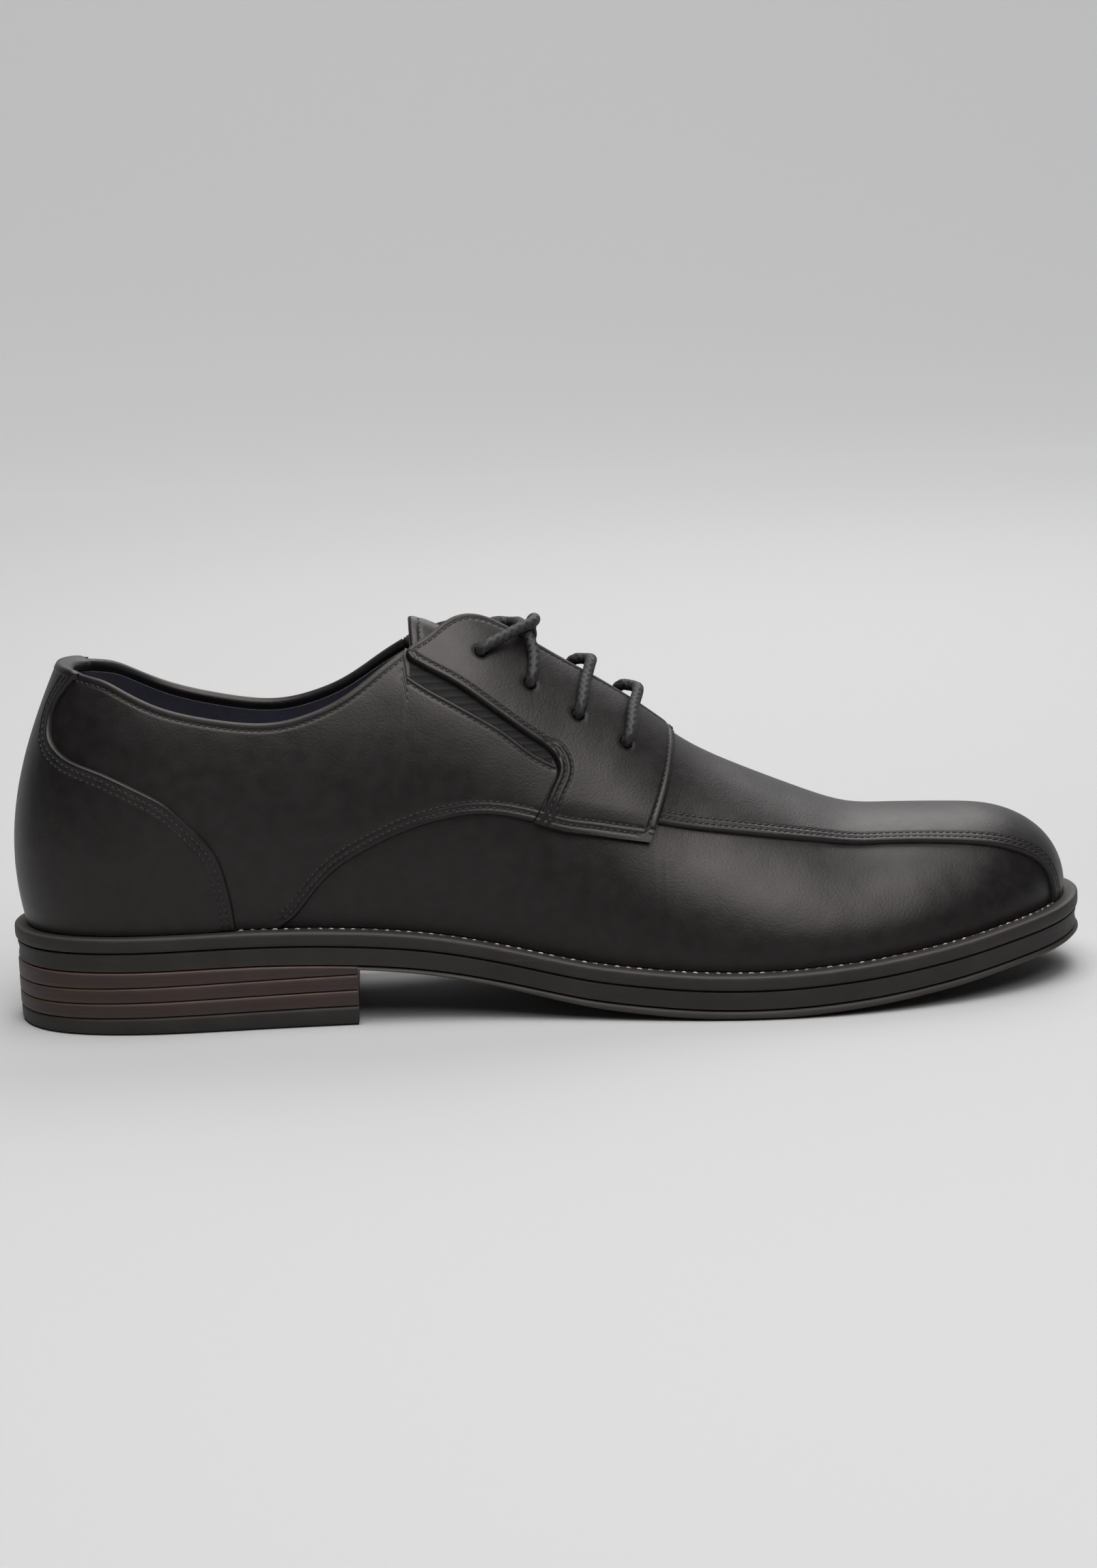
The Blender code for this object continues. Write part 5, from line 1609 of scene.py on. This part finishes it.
class MakeHeel(PieceOperator, bpy.types.Operator):
    """Build the heel's stacked layers and its top lift"""

    bl_idname = "shoe.make_heel"
    bl_label = "Heel"

    def execute(self, context):
        gap = CLEAR / 4
        breast = -LENGTH / 2 + HEEL_BREAST
        tops = [sloped(ends) for ends in LIFT_JOINTS] + [shifted(seat, -WELT - MIDSOLE)]
        lows = [sloped((0, 0))] + tops[:-1]
        for node, low, high in zip(("top_lift", "heel_lift_3", "heel_lift_2", "heel_lift_1"), lows, tops):
            rubber = node == "top_lift"
            side, finish = (TOP_LIFT_SIDE, "black_sole") if rubber else (LIFT_SIDE, "brown_heel")
            floor = low if rubber else shifted(low, gap)
            rings, worn = layer(
                side, floor, shifted(high, -gap), lambda inset, z: heel_ring(inset, z, breast - inset / 4),
            )
            dress(stacked(node + "_layer", rings, worn), finish, finish, node)
        return {"FINISHED"}


class MakeLace(PieceOperator, bpy.types.Operator):
    """Build the lace through the eyelets, with both ends tucked under the facings"""

    bl_idname = "shoe.make_lace"
    bl_label = "Lace"

    def execute(self, context):
        piece = lace_tube("lace", lace_route(), context.scene.shoe_sizes)
        dress(piece, "waxed_lace", "waxed_lace", "lace_crossing", "lace_bar_1", "lace_bar_2")
        return {"FINISHED"}


# Bar tack under the hooked seam and its foot: turn, up
TACK = ((0.543, 0.500), (0.550, 0.503), (0.557, 0.505), (0.564, 0.505))
TACK_FOOT = ((0.562, 0.492), (0.560, 0.450), (0.557, 0.405))

# Share of the thread's radius that shows over the bottom of a seam's trough
THREAD_SHOWING = 0.45

# Stitches of the welt, pale with painted glints: inset from the outline, height over the welt, length and
# thickness
WELT_SEAM_INSET = 0.0046
WELT_SEAM_RISE = 0.0001
WELT_STITCH = 0.0017
WELT_THREAD_RADIUS = 0.00028


class MakeStitches(PieceOperator, bpy.types.Operator):
    """Sew the upper's seams and the welt's joint"""

    bl_idname = "shoe.make_stitches"
    bl_label = "Stitches"

    def execute(self, context):
        sizes = context.scene.shoe_sizes
        under = sizes.trough_depth - sizes.thread_radius * THREAD_SHOWING
        sewn = {
            "strip": seam_lines(*strip_grid(61), lambda turn, up: STRIP_TOP - under + 0 * turn),
            "counter": seam_lines(*counter_grid(61, 60), lambda turn, up: COUNTER_TOP - under + 0 * turn),
        }
        for side, sign in SIDES:
            sewn["quarter_" + side] = seam_lines(
                *quarter_grid(sign), lambda turn, up: QUARTER_TOP - under + 0 * turn,
            )

            def seam_top(turn, up, sign=sign):
                """Distance from the last of a seam on the facing."""
                return facing_top(turn, up, sign) - facing_sink(turn, up) - under

            sewn["facing_" + side] = seam_lines(*facing_grid(sign), seam_top)
            for tack in (TACK, TACK_FOOT):
                turn, up = smooth_line(tack, 30).T
                turn = sign * turn
                sewn["facing_" + side].append((skin(turn, up, seam_top(turn, up)), outward(turn, up)))
        for name, lines in sewn.items():
            thread = sizes.stitch_pitch, sizes.stitch_length, sizes.thread_radius
            dress(stitches(name + "_stitches", lines, *thread), "thread", "black_leather")
        flat = rim(np.linspace(-0.999, 0.999, 1200), WELT_SEAM_INSET)
        points = np.column_stack([flat, seat(flat[:, 0]) + WELT_SEAM_RISE])
        upright = np.tile([0.0, 0.0, 1.0], (len(points), 1))
        thread = sizes.joint_pitch, WELT_STITCH, WELT_THREAD_RADIUS
        # The welt stitches' pale thread colour is painted glints
        dress(stitches("welt_stitches", [(points, upright)], *thread), "welt_thread_glint", "black_sole")
        return {"FINISHED"}


# Camera fitted to the photograph: its aim and distance in metres, its focal length in picture pixels
PICTURE_HEIGHT = 2296
FOCAL_PIXELS = 5140
SENSOR = 36.0
AIM = Vector((0.0011, 0.0, 0.0594))
DISTANCE = 1.0
ELEVATION = math.radians(10.3)
AZIMUTH = math.radians(-2.5)
PICTURE_ROLL = math.radians(2.35)

# Soft lights: name, place, size, power in watts
LIGHTS = (
    ("overhead", (0.00, -0.25, 1.30), 1.2, 18.0),
    ("front", (0.25, -1.00, 1.15), 0.9, 8.6),
    ("back", (0.25, 0.90, 1.05), 0.9, 7.0),
)
WORLD_LIGHT = 0.04

# Floor and backdrop: half the width, front end, start and radius of the bend, top, drop under the shoe, the
# backdrop's glow and the depths between which it grows
FLOOR_HALF_WIDTH = 3.5
FLOOR_FRONT = -3.0
BEND_START = 1.6
BEND_RADIUS = 0.8
BACKDROP_TOP = 3.5
FLOOR_DROP = 0.0001
BACKDROP_GLOW = 0.72
GLOW_DEPTHS = (0.1, 1.6)


def build_floor():
    """Floor and backdrop: a flat run, a quarter circle and an upright run, carried across."""
    angle = np.linspace(0, np.pi / 2, 24)
    bend_depth, bend_rise = BEND_RADIUS * np.sin(angle), BEND_RADIUS * (1 - np.cos(angle))
    depth = np.concatenate([[FLOOR_FRONT], BEND_START + bend_depth, [BEND_START + BEND_RADIUS]])
    rise = np.concatenate([[0.0], bend_rise, [BACKDROP_TOP]]) - FLOOR_DROP
    width = np.linspace(-FLOOR_HALF_WIDTH, FLOOR_HALF_WIDTH, 3)
    points = np.stack(np.broadcast_arrays(width[:, None], depth[None], rise[None]), -1)
    return add_mesh("floor", points, grid_quads(len(width), len(depth))[:, ::-1])


def floor_finish(colours):
    """Matt pale paper; its own glow evens out the backdrop."""
    made = Finish("pale_floor")
    colour = shade(colours.floor)
    depth = made.node("ShaderNodeSeparateXYZ", {}, {"Vector": made.place()}, out="Y").between(*GLOW_DEPTHS)
    glow = made.blend(depth, shade(colour, 0.0), colour)
    return made.finish(
        Base_Color=colour, Roughness=0.9, Emission_Color=glow, Emission_Strength=BACKDROP_GLOW,
    )


def add_lights(scene):
    """The soft lights, all turned to the shoe, and a faint even light from all round."""
    scene.world = scene.world or bpy.data.worlds.new("studio")
    scene.world.use_nodes = True
    sky = scene.world.node_tree.nodes["Background"]
    sky.inputs["Color"].default_value = (1.0, 1.0, 1.0, 1.0)
    sky.inputs["Strength"].default_value = WORLD_LIGHT
    for name, place, size, power in LIGHTS:
        lamp = bpy.data.lights.new(name, "AREA")
        lamp.shape = "DISK"
        lamp.size = size
        lamp.energy = power
        made = bpy.data.objects.new(name, lamp)
        made.location = place
        made.rotation_euler = (AIM - Vector(place)).to_track_quat("-Z", "Y").to_euler()
        scene.collection.objects.link(made)


def add_camera(scene):
    """The photograph's camera: it looks from the azimuth and the elevation at its aim, and is rolled."""
    lens = bpy.data.cameras.new("camera")
    lens.sensor_width = SENSOR
    lens.lens = FOCAL_PIXELS / PICTURE_HEIGHT * SENSOR
    level = math.cos(ELEVATION)
    back = Vector((math.sin(AZIMUTH) * level, -math.cos(AZIMUTH) * level, math.sin(ELEVATION)))
    camera = bpy.data.objects.new("camera", lens)
    camera.location = AIM + DISTANCE * back
    turned = (-back).to_track_quat("-Z", "Y") @ Quaternion((0, 0, 1), -PICTURE_ROLL)
    camera.rotation_euler = turned.to_euler()
    scene.collection.objects.link(camera)
    scene.camera = camera


class MakeStage(bpy.types.Operator):
    """Set up the pale floor, the soft lights and the camera"""

    bl_idname = "shoe.make_stage"
    bl_label = "Stage"

    def execute(self, context):
        floor = build_floor()
        floor.data.materials.append(floor_finish(context.scene.shoe_colours))
        add_lights(context.scene)
        add_camera(context.scene)
        context.scene.view_settings.view_transform = "Standard"
        return {"FINISHED"}


OPERATORS = (
    MakeUpper, MakeStrip, MakeQuarters, MakeFacings, MakeGores, MakeCounter, MakeTongue, MakeSole, MakeHeel,
    MakeLace, MakeStitches, MakeStage,
)


class ShoePanel(bpy.types.Panel):
    """Lists the shoe's pieces, its sizes and its colours"""

    bl_idname = "VIEW3D_PT_shoe"
    bl_label = "Shoe"
    bl_space_type = "VIEW_3D"
    bl_region_type = "UI"
    bl_category = "Shoe"

    def draw(self, context):
        for operator in OPERATORS:
            self.layout.operator(operator.bl_idname)
        for group in (context.scene.shoe_sizes, context.scene.shoe_colours):
            for name in group.__annotations__:
                self.layout.prop(group, name)


CLASSES = (ShoeSizes, ShoeColours, *OPERATORS, ShoePanel)


def register():
    """Adds the add-on's classes, and its sizes and colours to each scene."""
    for kind in CLASSES:
        bpy.utils.register_class(kind)
    bpy.types.Scene.shoe_sizes = bpy.props.PointerProperty(type=ShoeSizes)
    bpy.types.Scene.shoe_colours = bpy.props.PointerProperty(type=ShoeColours)


def unregister():
    """Takes away what register added."""
    del bpy.types.Scene.shoe_colours
    del bpy.types.Scene.shoe_sizes
    for kind in reversed(CLASSES):
        bpy.utils.unregister_class(kind)


def main():
    """Builds the whole shoe and its stage."""
    register()
    for operator in OPERATORS:
        group, name = operator.bl_idname.split(".")
        getattr(getattr(bpy.ops, group), name)()


if __name__ == "__main__":
    main()
